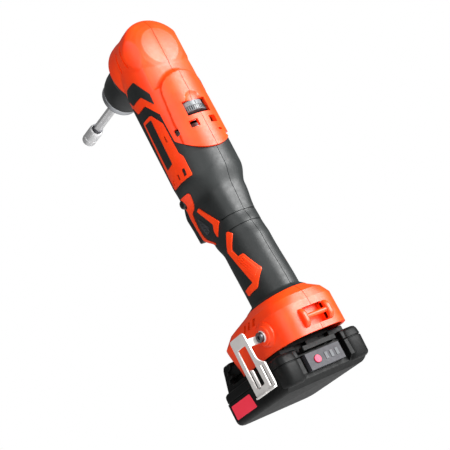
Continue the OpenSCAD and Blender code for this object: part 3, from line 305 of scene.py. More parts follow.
class Mesh:
    """Makes solids and objects from plain lists of points, in millimetres."""

    WELD: ClassVar[float] = 1e-7
    SLICE: ClassVar[float] = 1e-6
    SIDE_SHARE: ClassVar[float] = 0.45

    @staticmethod
    def object(name: str, solid: Solid, sharp: float = 32.0) -> bpy.types.Object:
        """Makes an object of a solid.

        Args:
            name: the piece's name.
            solid: its points and faces.
            sharp: edges above this angle, in degrees, stay crisp.

        Returns:
            The new object.
        """
        points, faces = solid
        data = bpy.data.meshes.new(name)
        data.from_pydata([Vector(p) * MM for p in points], [], faces)
        work = bmesh.new()
        work.from_mesh(data)
        bmesh.ops.remove_doubles(work, verts=work.verts, dist=Mesh.WELD)
        bmesh.ops.recalc_face_normals(work, faces=work.faces)
        work.to_mesh(data)
        work.free()
        thing = bpy.data.objects.new(name, data)
        bpy.context.scene.collection.objects.link(thing)
        Mesh.shade(thing, sharp)
        return thing

    @staticmethod
    def shade(thing: bpy.types.Object, sharp: float) -> None:
        """Shades an object smooth, with crisp edges above an angle in degrees."""
        thing.data.polygons.foreach_set("use_smooth", [True] * len(thing.data.polygons))
        thing.data.set_sharp_from_angle(angle=math.radians(sharp))

    @staticmethod
    def join(solids: Sequence[Solid]) -> Solid:
        """Puts several solids into one list of points and faces.

        Args:
            solids: the solids.

        Returns:
            One solid that holds them all.
        """
        points: list[Point] = []
        faces: list[tuple[int, ...]] = []
        for some_points, some_faces in solids:
            base = len(points)
            points.extend(some_points)
            faces.extend(tuple(i + base for i in f) for f in some_faces)
        return points, faces

    @staticmethod
    def box(low: Point, high: Point) -> Solid:
        """Gives a box between two corners."""
        plan = [(low[0], low[1]), (high[0], low[1]), (high[0], high[1]), (low[0], high[1])]
        return Mesh.prism(plan, Axis.Z, low[2], high[2])

    @staticmethod
    def stack(rings: Sequence[Sequence[Point]], looped: bool = False) -> Solid:
        """Closes a stack of rings with the same count of points into a solid.

        Args:
            rings: the rings, from one end to the other.
            looped: joins the last ring to the first, in place of the two end faces.

        Returns:
            The solid.
        """
        count = len(rings[0])
        points = [p for ring in rings for p in ring]
        faces: list[tuple[int, ...]] = []
        for k in range(len(rings) if looped else len(rings) - 1):
            a, b = k * count, (k + 1) % len(rings) * count
            faces += [(a + i, a + (i + 1) % count, b + (i + 1) % count, b + i) for i in range(count)]
        if not looped:
            faces.append(tuple(range(count))[::-1])
            faces.append(tuple(range(len(points) - count, len(points))))
        return points, faces

    @staticmethod
    def prism(outline: Sequence[Flat], axis: Axis, low: float, high: float) -> Solid:
        """Extrudes an outline, given in the plane of the two other axes, along an axis."""
        return Mesh.stack([[axis.place(p, along) for p in outline] for along in (low, high)])

    @staticmethod
    def lathe(profile: Sequence[Flat], centre: Point, axis: Axis, sides: int = 96) -> Solid:
        """Revolves a closed profile about an axis.

        Args:
            profile: its points as (radius, length), which may touch the axis.
            centre: where lengths count from.
            axis: the way it runs.
            sides: facets round it.

        Returns:
            The solid.
        """
        points: list[Point] = []
        places: dict[tuple[int, int], int] = {}
        for j, (r, along) in enumerate(profile):
            for i, turn in enumerate(circle(sides) if r > 0 else [0.0]):
                spot = axis.place((r * math.cos(turn), r * math.sin(turn)), along)
                places[i, j] = len(points)
                points.append(tuple(c + s for c, s in zip(centre, spot)))
        faces = []
        for i in range(sides):
            after = (i + 1) % sides
            for j in range(len(profile)):
                up = (j + 1) % len(profile)
                ring = [(i, j), (i, up), (after, up), (after, j)]
                corners = tuple(dict.fromkeys(places.get(c, places[0, c[1]]) for c in ring))
                if len(corners) > 2:
                    faces.append(corners)
        return points, faces

    @staticmethod
    def rod(radius: float, centre: Point, axis: Axis, ends: Flat, sides: int = 48) -> Solid:
        """Makes a plain cylinder, for cutting and for bars.

        Args:
            radius: its radius.
            centre: a point on its middle line.
            axis: the way it runs.
            ends: its low and high end along the axis.
            sides: facets round it.

        Returns:
            The solid.
        """
        u, v = (c for i, c in enumerate(centre) if i != axis.value)
        outline = [(u + radius * math.cos(t), v + radius * math.sin(t)) for t in circle(sides)]
        return Mesh.prism(outline, axis, *ends)

    @staticmethod
    def patch(outline: Sequence[Flat], to_space: Mapping, rise: float, depth: float,
              step: Flat = (3.0, 3.0)) -> Solid:
        """Bends a flat outline onto a surface as a thin closed solid.

        Args:
            outline: points on the surface.
            to_space: maps (across, up, height) to space.
            rise: how far it stands above the surface.
            depth: how far it reaches below the surface.
            step: spacing of the cuts that let it bend.

        Returns:
            The solid.
        """
        work = bmesh.new()
        points, faces = Mesh.prism(outline, Axis.Z, -depth, rise)
        corners = [work.verts.new(p) for p in points]
        for face in faces:
            work.faces.new([corners[i] for i in face])
        for axis in (Axis.X, Axis.Y):
            places = [p[axis.value] for p in outline]
            pitch = step[axis.value]
            for k in range(1, max(2, math.ceil((max(places) - min(places)) / pitch))):
                spot = axis.place((0.0, 0.0), min(places) + k * pitch)
                bmesh.ops.bisect_plane(work, geom=[*work.verts, *work.edges, *work.faces], dist=Mesh.SLICE,
                                       plane_co=spot, plane_no=axis.place((0.0, 0.0), 1.0))
        bmesh.ops.triangulate(work, faces=[f for f in work.faces if len(f.verts) > 4])
        work.verts.index_update()
        points = [to_space(*v.co) for v in work.verts]
        faces = [tuple(v.index for v in f.verts) for f in work.faces]
        work.free()
        return points, faces

    @staticmethod
    def rounded(outline: Sequence[Flat], radius: float, steps: int = 4) -> list[Flat]:
        """Rounds the corners of an outline.

        Args:
            outline: its corners.
            radius: of each corner, less where the sides are short.
            steps: facets of a corner.

        Returns:
            The outline with round corners.
        """
        out: list[Flat] = []
        for i, corner in enumerate(outline):
            here = Vector(corner)
            back = Vector(outline[i - 1]) - here
            ahead = Vector(outline[(i + 1) % len(outline)]) - here
            reach = min(radius, back.length * Mesh.SIDE_SHARE, ahead.length * Mesh.SIDE_SHARE)
            a = here + back.normalized() * reach
            b = here + ahead.normalized() * reach
            for t in (k / steps for k in range(steps + 1)):
                out.append(tuple((1 - t) ** 2 * a + 2 * t * (1 - t) * here + t ** 2 * b))
        return out

    @staticmethod
    def settle(thing: bpy.types.Object) -> None:
        """Applies an object's modifiers to its mesh.

        Args:
            thing: the object.
        """
        shape = thing.evaluated_get(bpy.context.evaluated_depsgraph_get())
        data = bpy.data.meshes.new_from_object(shape)
        thing.modifiers.clear()
        thing.data = data

    @staticmethod
    def cut(thing: bpy.types.Object, *cutters: Solid, keep_inside: bool = False) -> None:
        """Cuts solids out of an object, one after the other.

        Args:
            thing: what is cut.
            cutters: the solids.
            keep_inside: keeps what lies in the cutter instead.
        """
        for cutter in cutters:
            tool = Mesh.object("cutter", cutter)
            step = thing.modifiers.new("cut", "BOOLEAN")
            step.operation = "INTERSECT" if keep_inside else "DIFFERENCE"
            step.solver = "EXACT"
            step.object = tool
            Mesh.settle(thing)
            data = tool.data
            bpy.data.objects.remove(tool)
            bpy.data.meshes.remove(data)

    @staticmethod
    def soften(thing: bpy.types.Object, width: float, segments: int = 3, sharp: float = 35.0) -> None:
        """Rounds an object's crisp edges with a bevel.

        Args:
            thing: the object.
            width: of the bevel.
            segments: facets across it.
            sharp: the least angle, in degrees, that it rounds.
        """
        step = thing.modifiers.new("edge", "BEVEL")
        step.width = width * MM
        step.segments = segments
        step.limit_method = "ANGLE"
        step.angle_limit = math.radians(sharp)
        step.use_clamp_overlap = True


def dress(thing: bpy.types.Object, finish: Finish, body: str, *nodes: str) -> None:
    """Gives a piece its finish and the body that it moves with.

    Args:
        thing: the piece.
        finish: its surface.
        body: the CAD body that it rides on.
        nodes: the CAD nodes that it stands for.
    """
    thing.data.materials.clear()
    thing.data.materials.append(finish.material())
    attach(thing, body)
    if nodes:
        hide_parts(*nodes)
    LOG.info("piece %s on %s", thing.name, body)


@dataclass(frozen=True)
class Row:
    """One level of a body's outline: how far it reaches and how square it is."""

    z: float
    front: float
    rear: float
    half_w: float
    squareness: float
    eases: bool = True

    def mixed(self, other: "Row", z: float, share: float) -> "Row":
        """Gives the row at a level between this one and another, by the other's share."""
        ends = zip(astuple(self)[1:5], astuple(other)[1:5])
        return Row(z, *(a + (b - a) * share for a, b in ends))


@dataclass(frozen=True)
class BodyForm:
    """The form that the motor section, the grip and the foot share, in millimetres."""

    rows: tuple[Row, ...] = (
        Row(29.0, 45.0, 36.7, 30.0, 4.0),
        Row(52.0, 51.0, 36.7, 30.0, 4.0, False),
        Row(58.6, 43.0, 35.2, 27.4, 3.2, False),
        Row(64.0, 23.0, 30.6, 21.0, 2.2),
        Row(68.0, 16.0, 27.6, 17.2, 2.0),
        Row(108.0, 17.0, 24.5, 16.9, 2.0),
        Row(121.0, 20.5, 22.0, 16.8, 2.2),
        Row(131.0, 29.0, 20.0, 16.8, 2.8),
        Row(150.0, 29.0, 21.0, 18.4, 3.0),
        Row(168.0, 25.8, 25.8, 25.8, 2.0),
        Row(183.0, 25.8, 25.8, 25.8, 2.0),
    )
    section_r: float = 26.8
    skin_r: float = 25.8
    spindle_z: float = 267.5
    head_r: float = 25.8
    parting: float = 0.2
    rear_x: float = 20.0

    def row(self, z: float) -> Row:
        """Works out the outline at a level.

        Args:
            z: the level.

        Returns:
            The row there, eased between the two rows around it.
        """
        for low, high in zip(self.rows, self.rows[1:]):
            if z <= high.z:
                t = max(0.0, (z - low.z) / (high.z - low.z))
                return low.mixed(high, z, t * t * (3 - 2 * t) if low.eases else t)
        return self.rows[-1]

    def point(self, z: float, inset: float, turn: float) -> Flat:
        """Finds a point of the outline.

        Args:
            z: the level.
            inset: how far it is drawn in.
            turn: the angle from the rear, in radians, up to half a turn.

        Returns:
            Its place fore and aft, and its half width.
        """
        row = self.row(z)
        power = 2.0 / row.squareness
        reach = (row.front + row.rear) / 2 - inset
        along = math.copysign(abs(math.cos(turn)) ** power, math.cos(turn))
        across = abs(math.sin(turn)) ** power
        return (row.rear - row.front) / 2 + reach * along, (row.half_w - inset) * across

    def half_width(self, x: float, z: float) -> float:
        """Finds the body's half width.

        Args:
            x: the place fore and aft.
            z: the level.

        Returns:
            The half width there.
        """
        row = self.row(z)
        off = abs(x - (row.rear - row.front) / 2) / ((row.front + row.rear) / 2)
        return row.half_w * (1 - min(off, 1.0) ** row.squareness) ** (1 / row.squareness)

    def half(self, side: Side, levels: Sequence[float], outer: Callable[[float, float], float],
             inner: float, steps: int = 72) -> Solid:
        """Lofts one half of a shell through a row of levels.

        Args:
            side: the side of the tool.
            levels: the heights that it goes through.
            outer: gives the outer face's inset at a level and a turn.
            inner: the inner face's inset.
            steps: facets round the half.

        Returns:
            The closed shell.
        """
        turns = half_circle(steps)
        rings = []
        for z in levels:
            flat = [self.point(z, outer(z, t), t) for t in turns]
            flat += [self.point(z, inner, t) for t in reversed(turns)]
            rings.append([(x, side.value * max(y, self.parting), z) for x, y in flat])
        return Mesh.stack(rings)

    def on_section(self, side: Side, radius: float, shift: float = 0.0) -> Mapping:
        """Maps (degrees from the rear, level, height) onto the round section.

        Args:
            side: the side that the degrees count towards.
            radius: the surface's radius.
            shift: degrees by which everything moves towards the front.

        Returns:
            The mapping.
        """
        def place(turn: float, z: float, height: float) -> Point:
            """Puts one point on the section."""
            angle, r = math.radians(turn + shift), radius + height
            return r * math.cos(angle), side.value * r * math.sin(angle), z
        return place

    def on_flank(self, side: Side, ahead: float = 0.0) -> Mapping:
        """Maps (fore and aft, level, height) onto the flank of the grip.

        Args:
            side: the side of the tool.
            ahead: how far the rearmost places move towards the front.

        Returns:
            The mapping.
        """
        def place(x: float, z: float, height: float) -> Point:
            """Puts one point on the flank."""
            moved = x - ahead * clamped(x / self.rear_x)
            return moved, side.value * (self.half_width(moved, z) + height), z
        return place


FORM = BodyForm()


@dataclass(frozen=True)
class ColourLine:
    """The line round the motor section where the orange shell ends and the soft grip starts.

    Its points are (degrees from the rear, level). Behind the first of them it dips as a parabola.
    """

    dip: float = 180.0
    points: tuple[Flat, ...] = (
        (57.5, 195.5), (58.5, 218.5), (76.0, 230.5), (101.0, 230.5), (112.0, 238.0), (180.0, 238.0))
    half_turn: int = 180
    pitch: int = 2
    low: float = 50.0
    reach: float = 36.0
    core: float = 7.0

    def level(self, turn: float) -> float:
        """Finds the line's level.

        Args:
            turn: the angle from the rear, in degrees, towards either side.

        Returns:
            The level there.
        """
        turn = abs(turn)
        edge, top = self.points[0]
        if turn <= edge:
            return self.dip + (top - self.dip) * (turn / edge) ** 2
        for (a, low), (b, high) in zip(self.points, self.points[1:]):
            if turn <= b:
                return low + (high - low) * (turn - a) / (b - a)
        return self.points[-1][1]

    def turns(self) -> list[float]:
        """Gives the angles that the line is drawn through, in degrees."""
        corners = {a for a, _ in self.points} | {-a for a, _ in self.points[:-1]}
        return sorted(corners | set(range(1 - self.half_turn, self.half_turn, self.pitch)))

    def below(self, drop: float) -> Solid:
        """Makes the solid that fills the section below the line.

        Args:
            drop: how far under the line its top stays.

        Returns:
            The solid.
        """
        rings: list[list[Point]] = [[], [], [], []]
        for turn in self.turns():
            c, s = math.cos(math.radians(turn)), math.sin(math.radians(turn))
            top = self.level(turn) - drop
            corners = ((self.core, self.low), (self.reach, self.low), (self.reach, top), (self.core, top))
            for ring, (r, z) in zip(rings, corners):
                ring.append((r * c, r * s, z))
        return Mesh.stack(rings, looped=True)


LINE = ColourLine()


@dataclass(frozen=True)
class ScrewPockets:
    """The round pockets in the right side that the heads of the housing screws sit in."""

    grip: tuple[Point, ...] = ((10.0, 15.4, 76.0), (10.0, 15.0, 102.0), (-20.9, 15.5, 196.4))
    shell: tuple[Point, ...] = ((20.9, 15.5, 187.9),)
    foot: tuple[Point, ...] = ((-40.0, 25.8, 47.4), (24.0, 26.6, 47.4))
    radius: float = 2.8
    head: float = 1.9
    reach: float = 10.0
    sides: int = 40

    def cutters(self, side: Side, heads: Sequence[Point]) -> list[Solid]:
        """Makes the cutters of some pockets.

        Args:
            side: the side of the piece that is cut; only the right side has pockets.
            heads: the tops of the screw heads in it.

        Returns:
            The cutters, none for the left side.
        """
        return [Mesh.rod(self.radius, spot, Axis.Y, (spot[1] - self.head, spot[1] + self.reach), self.sides)
                for spot in heads if side is Side.RIGHT]


POCKETS = ScrewPockets()


class Skin:
    """The outer surface of a finished body, for pieces that lie on it."""

    def __init__(self, body: bpy.types.Object) -> None:
        """Keeps a copy of the surface of an object."""
        points = [v.co.copy() for v in body.data.vertices]
        self._tree = BVHTree.FromPolygons(points, [p.vertices[:] for p in body.data.polygons])

    def _reach(self, centre: Point, out: Vector, height: float) -> Point:
        """Finds the point of the surface on a line out of the body, a height above it."""
        hit = self._tree.ray_cast((out * FAR + Vector(centre)) * MM, -out)[0]
        return tuple(hit / MM + out * height)

    def section(self, side: Side) -> Mapping:
        """Maps (degrees from the rear, level, height) onto the surface, towards the motor's axis.

        Args:
            side: the side that the degrees count towards.

        Returns:
            The mapping.
        """
        def place(turn: float, z: float, height: float) -> Point:
            """Puts one point on the surface."""
            out = Vector((math.cos(math.radians(turn)), side.value * math.sin(math.radians(turn)), 0.0))
            return self._reach((0.0, 0.0, z), out, height)
        return place

    def head(self, side: Side) -> Mapping:
        """Maps (fore and aft, degrees above the side, height) onto the surface of the head.

        Args:
            side: the side of the tool.

        Returns:
            The mapping.
        """
        def place(x: float, turn: float, height: float) -> Point:
            """Puts one point on the surface."""
            out = Vector((0.0, side.value * math.cos(math.radians(turn)), math.sin(math.radians(turn))))
            return self._reach((x, 0.0, FORM.spindle_z), out, height)
        return place


@dataclass(frozen=True)
class UpperShell:
    """The orange shell over the gear head and the motor, in two halves.

    A reach is how far a patch stands above and goes below the surface, and a step is how finely it bends.
    """

    sides: int = 128
    crisp: float = 38.0
    voxel: float = 0.6
    ease: float = 0.5
    ease_rounds: int = 8
    cut_z: Flat = (100.0, 320.0)
    section_z: Flat = (150.0, 236.0)
    bulge: tuple[Flat, ...] = ((47.0, 176.0), (45.0, 208.0))
    bulge_arch: Point = (41.0, 230.0, 13.2)
    bulge_steps: int = 10
    bulge_reach: Flat = (1.0, 3.0)
    bulge_step: Flat = (3.0, 6.0)
    neck: tuple[Row, ...] = (
        Row(234.0, 26.8, 26.8, 26.8, 2.0), Row(246.0, 25.4, 26.8, 26.8, 2.0),
        Row(254.0, 23.4, 26.8, 26.4, 2.0), Row(260.0, 21.0, 26.7, 25.9, 2.0),
        Row(266.0, 18.0, 26.0, 25.4, 2.0))
    neck_steps: int = 40
    saddle_x: float = 21.4
    saddle_curve: float = 100.0
    arch_top: float = 246.6
    arch_fall: float = 30.0
    arch_slope: float = 0.95
    head: tuple[Flat, ...] = (
        (24.6, -16.5), (25.5, -15.8), (25.8, -14.0), (25.8, -9.0), (25.3, -5.0), (25.3, 0.0), (25.7, 6.0),
        (25.8, 12.4), (25.5, 14.6), (24.6, 16.4), (22.4, 18.2), (18.6, 20.3), (14.6, 21.8), (7.0, 23.6),
        (0.0, 24.0))
    head_steps: int = 6
    head_round: float = 27.2
    facet: Block = ((21.8, -FAR, 254.2), (FAR, FAR, 320.0))
    wall: float = 2.4
    hollow_z: Flat = (140.0, 236.0)
    throat_r: float = 14.0
    throat_z: Flat = (247.0, 266.0)
    head_wall: float = 3.4
    mouth_r: float = 18.4
    mouth_x: Flat = (-40.0, -14.0)
    bore_x: Flat = (-13.0, 6.0)
    bore_end: Flat = (12.0, 19.0)
    window: Block = ((15.0, -10.0, 206.8), (40.0, 10.0, 218.4))
    scoop_r: float = 15.0
    scoop_depth: float = 2.6
    scoop_z: float = 217.0
    scoop_steps: int = 24
    vents: tuple[tuple[float, ...], ...] = ((10.0, 24.5, 197.6, 203.2), (43.6, 51.6, 197.2, 202.6))
    slits: tuple[tuple[float, ...], ...] = ((18.0, 26.0, 190.8, 192.6),)
    vent_corner: float = 0.8
    vent_reach: Flat = (6.0, 6.0)
    vent_step: Flat = (3.0, 8.0)
    slashes: tuple[tuple[Flat, ...], ...] = (
        ((5.8, 31.0), (7.4, 31.0), (9.0, -13.0), (7.4, -13.0)),
        ((-1.8, 28.0), (-0.2, 28.0), (0.0, -11.0), (-1.6, -11.0)))
    slash_corner: float = 0.5
    slash_reach: Flat = (2.0, 1.2)
    slash_step: Flat = (2.0, 4.0)

    def build(self) -> Skin:
        """Makes both halves and dresses them.

        Returns:
            The shell's outer surface, before it was cut.
        """
        whole = self._fused()
        skin = Skin(whole)
        Mesh.cut(whole, *self._hollows(), *self._openings(skin))
        for side in Side:
            half = whole.copy()
            half.data = whole.data.copy()
            half.name = f"upper_shell_{side.word}"
            bpy.context.scene.collection.objects.link(half)
            low, high = side.span(-FAR, FORM.parting)
            Mesh.cut(half, Mesh.box((-FAR, low, self.cut_z[0]), (FAR, high, self.cut_z[1])),
                     *POCKETS.cutters(side, POCKETS.shell))
            Mesh.shade(half, self.crisp)
            dress(half, ORANGE, "housing", f"housing_{side.word}")
        bpy.data.objects.remove(whole)
        return skin

    def _fused(self) -> bpy.types.Object:
        """Fuses the head, the section, the neck and the bulge into one smooth body.

        Returns:
            The closed body.
        """
        points, faces = Mesh.lathe(self._dense_head(), (0.0, 0.0, FORM.spindle_z), Axis.X, self.sides)
        head = [self._within(p) for p in points], faces
        low, high = self.section_z
        profile = [(0.0, low), (FORM.section_r, low), (FORM.section_r, high), (0.0, high)]
        section = Mesh.lathe(profile, (0.0, 0.0, 0.0), Axis.Z, self.sides)
        span = self.neck[-1].z - self.neck[0].z
        neck = Mesh.stack([self._neck_ring(self.neck[0].z + span * i / self.neck_steps)
                           for i in range(self.neck_steps + 1)])
        half, foot, rise = self.bulge_arch
        arch = [(-half * math.cos(t), foot + rise * math.sin(t)) for t in half_circle(self.bulge_steps)]
        outline = [(-turn, z) for turn, z in self.bulge] + arch + list(reversed(self.bulge))
        on_section = FORM.on_section(Side.LEFT, FORM.section_r)
        bulge = Mesh.patch(outline, on_section, *self.bulge_reach, self.bulge_step)
        body = Mesh.object("upper_body", Mesh.join([head, section, neck, bulge]))
        remesh = body.modifiers.new("fuse", "REMESH")
        remesh.mode = "VOXEL"
        remesh.voxel_size = self.voxel * MM
        remesh.use_smooth_shade = True
        smooth = body.modifiers.new("ease", "SMOOTH")
        smooth.factor = self.ease
        smooth.iterations = self.ease_rounds
        Mesh.settle(body)
        return body

    def _dense_head(self) -> list[Flat]:
        """Draws the head's closed profile with points close together.

        Returns:
            The profile, from the middle of the head's front.
        """
        dense: list[Flat] = [(0.0, self.head[0][1])]
        for (r, x), (to_r, to_x) in zip(self.head, self.head[1:]):
            dense += [(r + (to_r - r) * i / self.head_steps, x + (to_x - x) * i / self.head_steps)
                      for i in range(self.head_steps)]
        return [*dense, self.head[-1]]

    def _within(self, point: Point) -> Point:
        """Draws a point of the head's rear in to the round that goes on up from the section.

        Args:
            point: a point of the revolved head.

        Returns:
            The point, no farther from the motor's axis than the round.
        """
        x, y, z = point
        away = math.hypot(x, y)
        share = self.head_round / away if x > 0 and away > self.head_round else 1.0
        return x * share, y * share, z

    def _neck_ring(self, z: float) -> list[Point]:
        """Works out one level of the neck, whose rear is flat above the arch of the bulge.

        Args:
            z: the level.

        Returns:
            The ring's points.
        """
        low, high = next((a, b) for a, b in zip(self.neck, self.neck[1:]) if z <= b.z)
        row = low.mixed(high, z, (z - low.z) / (high.z - low.z))
        ring = []
        for turn in circle(self.sides):
            y = row.half_w * math.sin(turn)
            x = (row.rear if math.cos(turn) > 0 else row.front) * math.cos(turn)
            arch = self.arch_top - y * y / self.arch_fall
            flat = self.saddle_x - y * y / self.saddle_curve
            ring.append((min(x, flat + max(0.0, arch - z) * self.arch_slope), y, z))
        return ring

    def _hollows(self) -> list[Solid]:
        """Makes the cutters of the flat, the hollow, the bore, the colour line and the dial's scoop.

        Returns:
            The cutters.
        """
        inner = FORM.section_r - self.wall
        bore = FORM.head_r - self.head_wall
        low, high = self.hollow_z
        section = [(0.0, low), (inner, low), (inner, high), *((self.throat_r, z) for z in self.throat_z),
                   (0.0, self.throat_z[1])]
        head = [(0.0, self.mouth_x[0]), *((self.mouth_r, x) for x in self.mouth_x),
                *((bore, x) for x in self.bore_x), self.bore_end, (0.0, self.bore_end[1])]
        scoop = [(self.scoop_r * math.sin(t), -self.scoop_r * math.cos(t))
                 for t in half_circle(self.scoop_steps)]
        scoop_x = FORM.section_r + self.bulge_reach[0] + self.scoop_r - self.scoop_depth
        return [Mesh.box(*self.facet), Mesh.lathe(section, (0.0, 0.0, 0.0), Axis.Z),
                Mesh.lathe(head, (0.0, 0.0, FORM.spindle_z), Axis.X), LINE.below(0.0),
                Mesh.lathe(scoop, (scoop_x, 0.0, self.scoop_z), Axis.X)]

    def _openings(self, skin: Skin) -> list[Solid]:
        """Makes the cutters of the dial's window, the vents and the grooves.

        Args:
            skin: the shell's outer surface.

        Returns:
            The cutters.
        """
        cutters = [Mesh.box(*self.window)]
        for side in Side:
            for a, b, c, d in (*self.vents, *(self.slits if side is Side.RIGHT else ())):
                frame = Mesh.rounded([(a, c), (b, c), (b, d), (a, d)], self.vent_corner)
                cutters.append(Mesh.patch(frame, skin.section(side), *self.vent_reach, self.vent_step))
            for slash in self.slashes:
                groove = Mesh.rounded(slash, self.slash_corner)
                cutters.append(Mesh.patch(groove, skin.head(side), *self.slash_reach, self.slash_step))
        return cutters


@dataclass(frozen=True)
class Inlay:
    """A raised piece that lies on the housing: its outline, its finish and how far it stands up."""

    name: str
    outline: tuple[Flat, ...]
    finish: Finish
    rise: float
    corner: float = 0.8
    sharp: float = 32.0
    depth: float = 0.6
    step: Flat = (2.5, 2.5)

    def lay(self, to_space: Mapping, side: Side, *cutters: Solid) -> None:
        """Lays the piece on a surface and dresses it.

        Args:
            to_space: the surface's mapping.
            side: the side of the tool.
            cutters: solids that are cut out of it.
        """
        outline = Mesh.rounded(self.outline, self.corner)
        shape = Mesh.patch(outline, to_space, self.rise, self.depth, self.step)
        piece = Mesh.object(f"{self.name}_{side.word}", shape, self.sharp)
        if cutters:
            Mesh.cut(piece, *cutters)
            Mesh.shade(piece, self.sharp)
        dress(piece, self.finish, "housing")


@dataclass(frozen=True)
class SoftGrip:
    """The soft grey skin of the motor, the collar and the grip, in two halves, with its inlays.

    Inlays on the section are drawn in (degrees from the rear, level), those on the flank in (fore and aft,
    level). The sizes of a groove's rings are shares of its half width.
    """

    low: float = 64.7
    high: float = 240.0
    pitch: float = 1.3
    thickness: float = 2.0
    line_gap: float = 0.2
    crisp: float = 40.0
    grooves: tuple[float, ...] = (130.5, 121.0)
    groove_half: float = 0.55
    groove_rings: tuple[float, ...] = (-1.0, -0.6, 0.6, 1.0)
    groove_inside: float = 0.8
    groove_clear: float = 1.2
    groove_depth: float = 0.8
    groove_reach: float = 72.0
    groove_fade: float = 12.0
    front_rise: float = 1.0
    front_turn: float = 104.0
    front_z: float = 160.0
    front_ease: float = 10.0
    bay: Block = ((-60.0, -8.9, 128.4), (-18.0, 8.9, 161.8))
    button: Point = (-15.5, 158.0, 4.0)
    button_hole: Flat = (6.0, 24.0)
    inlay_hole: Flat = (6.0, 40.0)
    right_shift: float = 16.0
    right_ahead: float = 6.0
    chevron: Inlay = Inlay(
        "upper_chevron", ((97.0, 249.5), (75.0, 250.0), (58.0, 235.5), (59.0, 227.0), (74.5, 237.5),
                          (100.5, 237.5), (111.5, 244.0)), SOFT_GREY, 0.7)
    panel: Inlay = Inlay(
        "front_panel", ((61.5, 211.5), (61.5, 187.0), (57.0, 183.5), (57.0, 168.0), (110.0, 168.0),
                        (100.0, 222.0), (75.5, 222.0)), ORANGE, 1.1, 1.6, 30.0)
    panel_holes: tuple[tuple[Flat, ...], ...] = (
        ((64.5, 170.0), (71.0, 170.0), (70.0, 175.5), (63.5, 175.5)),
        ((79.5, 170.0), (83.5, 170.0), (83.0, 174.5), (79.0, 174.5)),
        ((98.0, 170.0), (102.5, 170.0), (102.0, 174.0), (97.5, 174.0)),
        ((68.5, 198.0), (71.0, 198.0), (71.0, 203.0), (68.5, 203.0)))
    hole_corner: float = 0.5
    hole_reach: Flat = (4.0, 0.2)
    hole_step: Flat = (3.0, 8.0)
    panel_insert: Inlay = Inlay(
        "panel_insert", ((95.0, 219.5), (78.0, 219.0), (80.0, 183.0), (97.0, 182.0)), SOFT_GREY, 1.5, 1.0)
    trigger_line: Inlay = Inlay(
        "trigger_line", ((2.0, 160.0), (-8.0, 150.0), (-13.5, 149.0), (-18.5, 135.0), (-15.5, 127.0),
                         (-7.5, 121.0), (-8.5, 120.0), (-20.0, 126.0), (-23.0, 134.0), (-19.0, 150.0),
                         (-15.5, 161.5)), ORANGE, 0.6, 3.0)
    arrow: Inlay = Inlay(
        "upper_arrow", ((-2.5, 148.0), (8.5, 131.0), (0.0, 122.5), (-0.5, 127.5), (2.0, 132.0),
                        (-6.0, 147.0)), ORANGE, 0.8)
    lens: Inlay = Inlay(
        "lens_pad", ((-11.0, 143.5), (-5.0, 134.0), (-6.0, 129.5), (-11.5, 129.5), (-13.0, 136.0)),
        PANEL_GREY, 0.5, 1.2)
    flash: Inlay = Inlay(
        "grip_flash", ((10.5, 121.5), (14.0, 118.0), (7.5, 108.0), (10.0, 102.0), (14.5, 102.0), (21.5, 86.0),
                       (13.5, 75.5), (1.0, 74.5), (0.0, 79.0), (12.0, 80.5), (2.5, 109.0)), ORANGE, 0.8, 1.0)
    rib_count: int = 4
    ribs: tuple[Inlay, ...] = (
        *(Inlay(f"flash_rib_{i}", ((7.5 + 2.0 * i, 100.0), (8.5 + 2.0 * i, 100.0), (17.0 + i, 84.0 + i),
                                   (16.0 + i, 83.0 + i)), ORANGE, 1.4, 0.3) for i in range(rib_count)),
        *(Inlay(f"lens_rib_{i}", ((-11.5 + 0.5 * i, 140.5 - 2.5 * i), (-8.5 + 0.5 * i, 138.5 - 2.5 * i),
                                  (-8.5 + 0.5 * i, 138.0 - 2.5 * i), (-11.5 + 0.5 * i, 140.0 - 2.5 * i)),
                SOFT_GREY, 0.8, 0.2) for i in range(rib_count)))

    def build(self, skin: Skin) -> None:
        """Makes both halves and lays the inlays on them.

        Args:
            skin: the upper shell's surface, which carries the highest inlay.
        """
        for side in Side:
            self._half(side)
            shift, ahead = (self.right_shift, self.right_ahead) if side is Side.RIGHT else (0.0, 0.0)
            section = FORM.on_section(side, FORM.skin_r, shift)
            frames = [Mesh.rounded(hole, self.hole_corner) for hole in self.panel_holes]
            holes = [Mesh.patch(frame, section, *self.hole_reach, self.hole_step) for frame in frames]
            self.chevron.lay(skin.section(side), side)
            self.panel.lay(section, side, *holes)
            self.panel_insert.lay(section, side)
            flank = FORM.on_flank(side, ahead)
            self.trigger_line.lay(flank, side, self._button_cutter(side, self.inlay_hole))
            self.arrow.lay(flank, side)
            self.lens.lay(flank, side)
            self.flash.lay(flank, side, *POCKETS.cutters(side, POCKETS.grip))
            for rib in self.ribs:
                rib.lay(flank, side)

    def _half(self, side: Side) -> None:
        """Makes one half of the skin.

        Args:
            side: the side of the tool.
        """
        shape = FORM.half(side, self._levels(), self._inset, self.thickness)
        half = Mesh.object(f"soft_grip_{side.word}", shape)
        Mesh.cut(half, self._button_cutter(side, self.button_hole), Mesh.box(*self.bay))
        Mesh.cut(half, LINE.below(self.line_gap), keep_inside=True)
        Mesh.cut(half, *POCKETS.cutters(side, POCKETS.grip + POCKETS.shell))
        Mesh.shade(half, self.crisp)
        dress(half, SOFT_GREY, "housing", f"overmould_{side.word}")

    def _button_cutter(self, side: Side, reach: Flat) -> Solid:
        """Gives the cutter of the direction button's hole on one side."""
        x, z, r = self.button
        return Mesh.rod(r, (x, 0.0, z), Axis.Y, side.span(*reach))

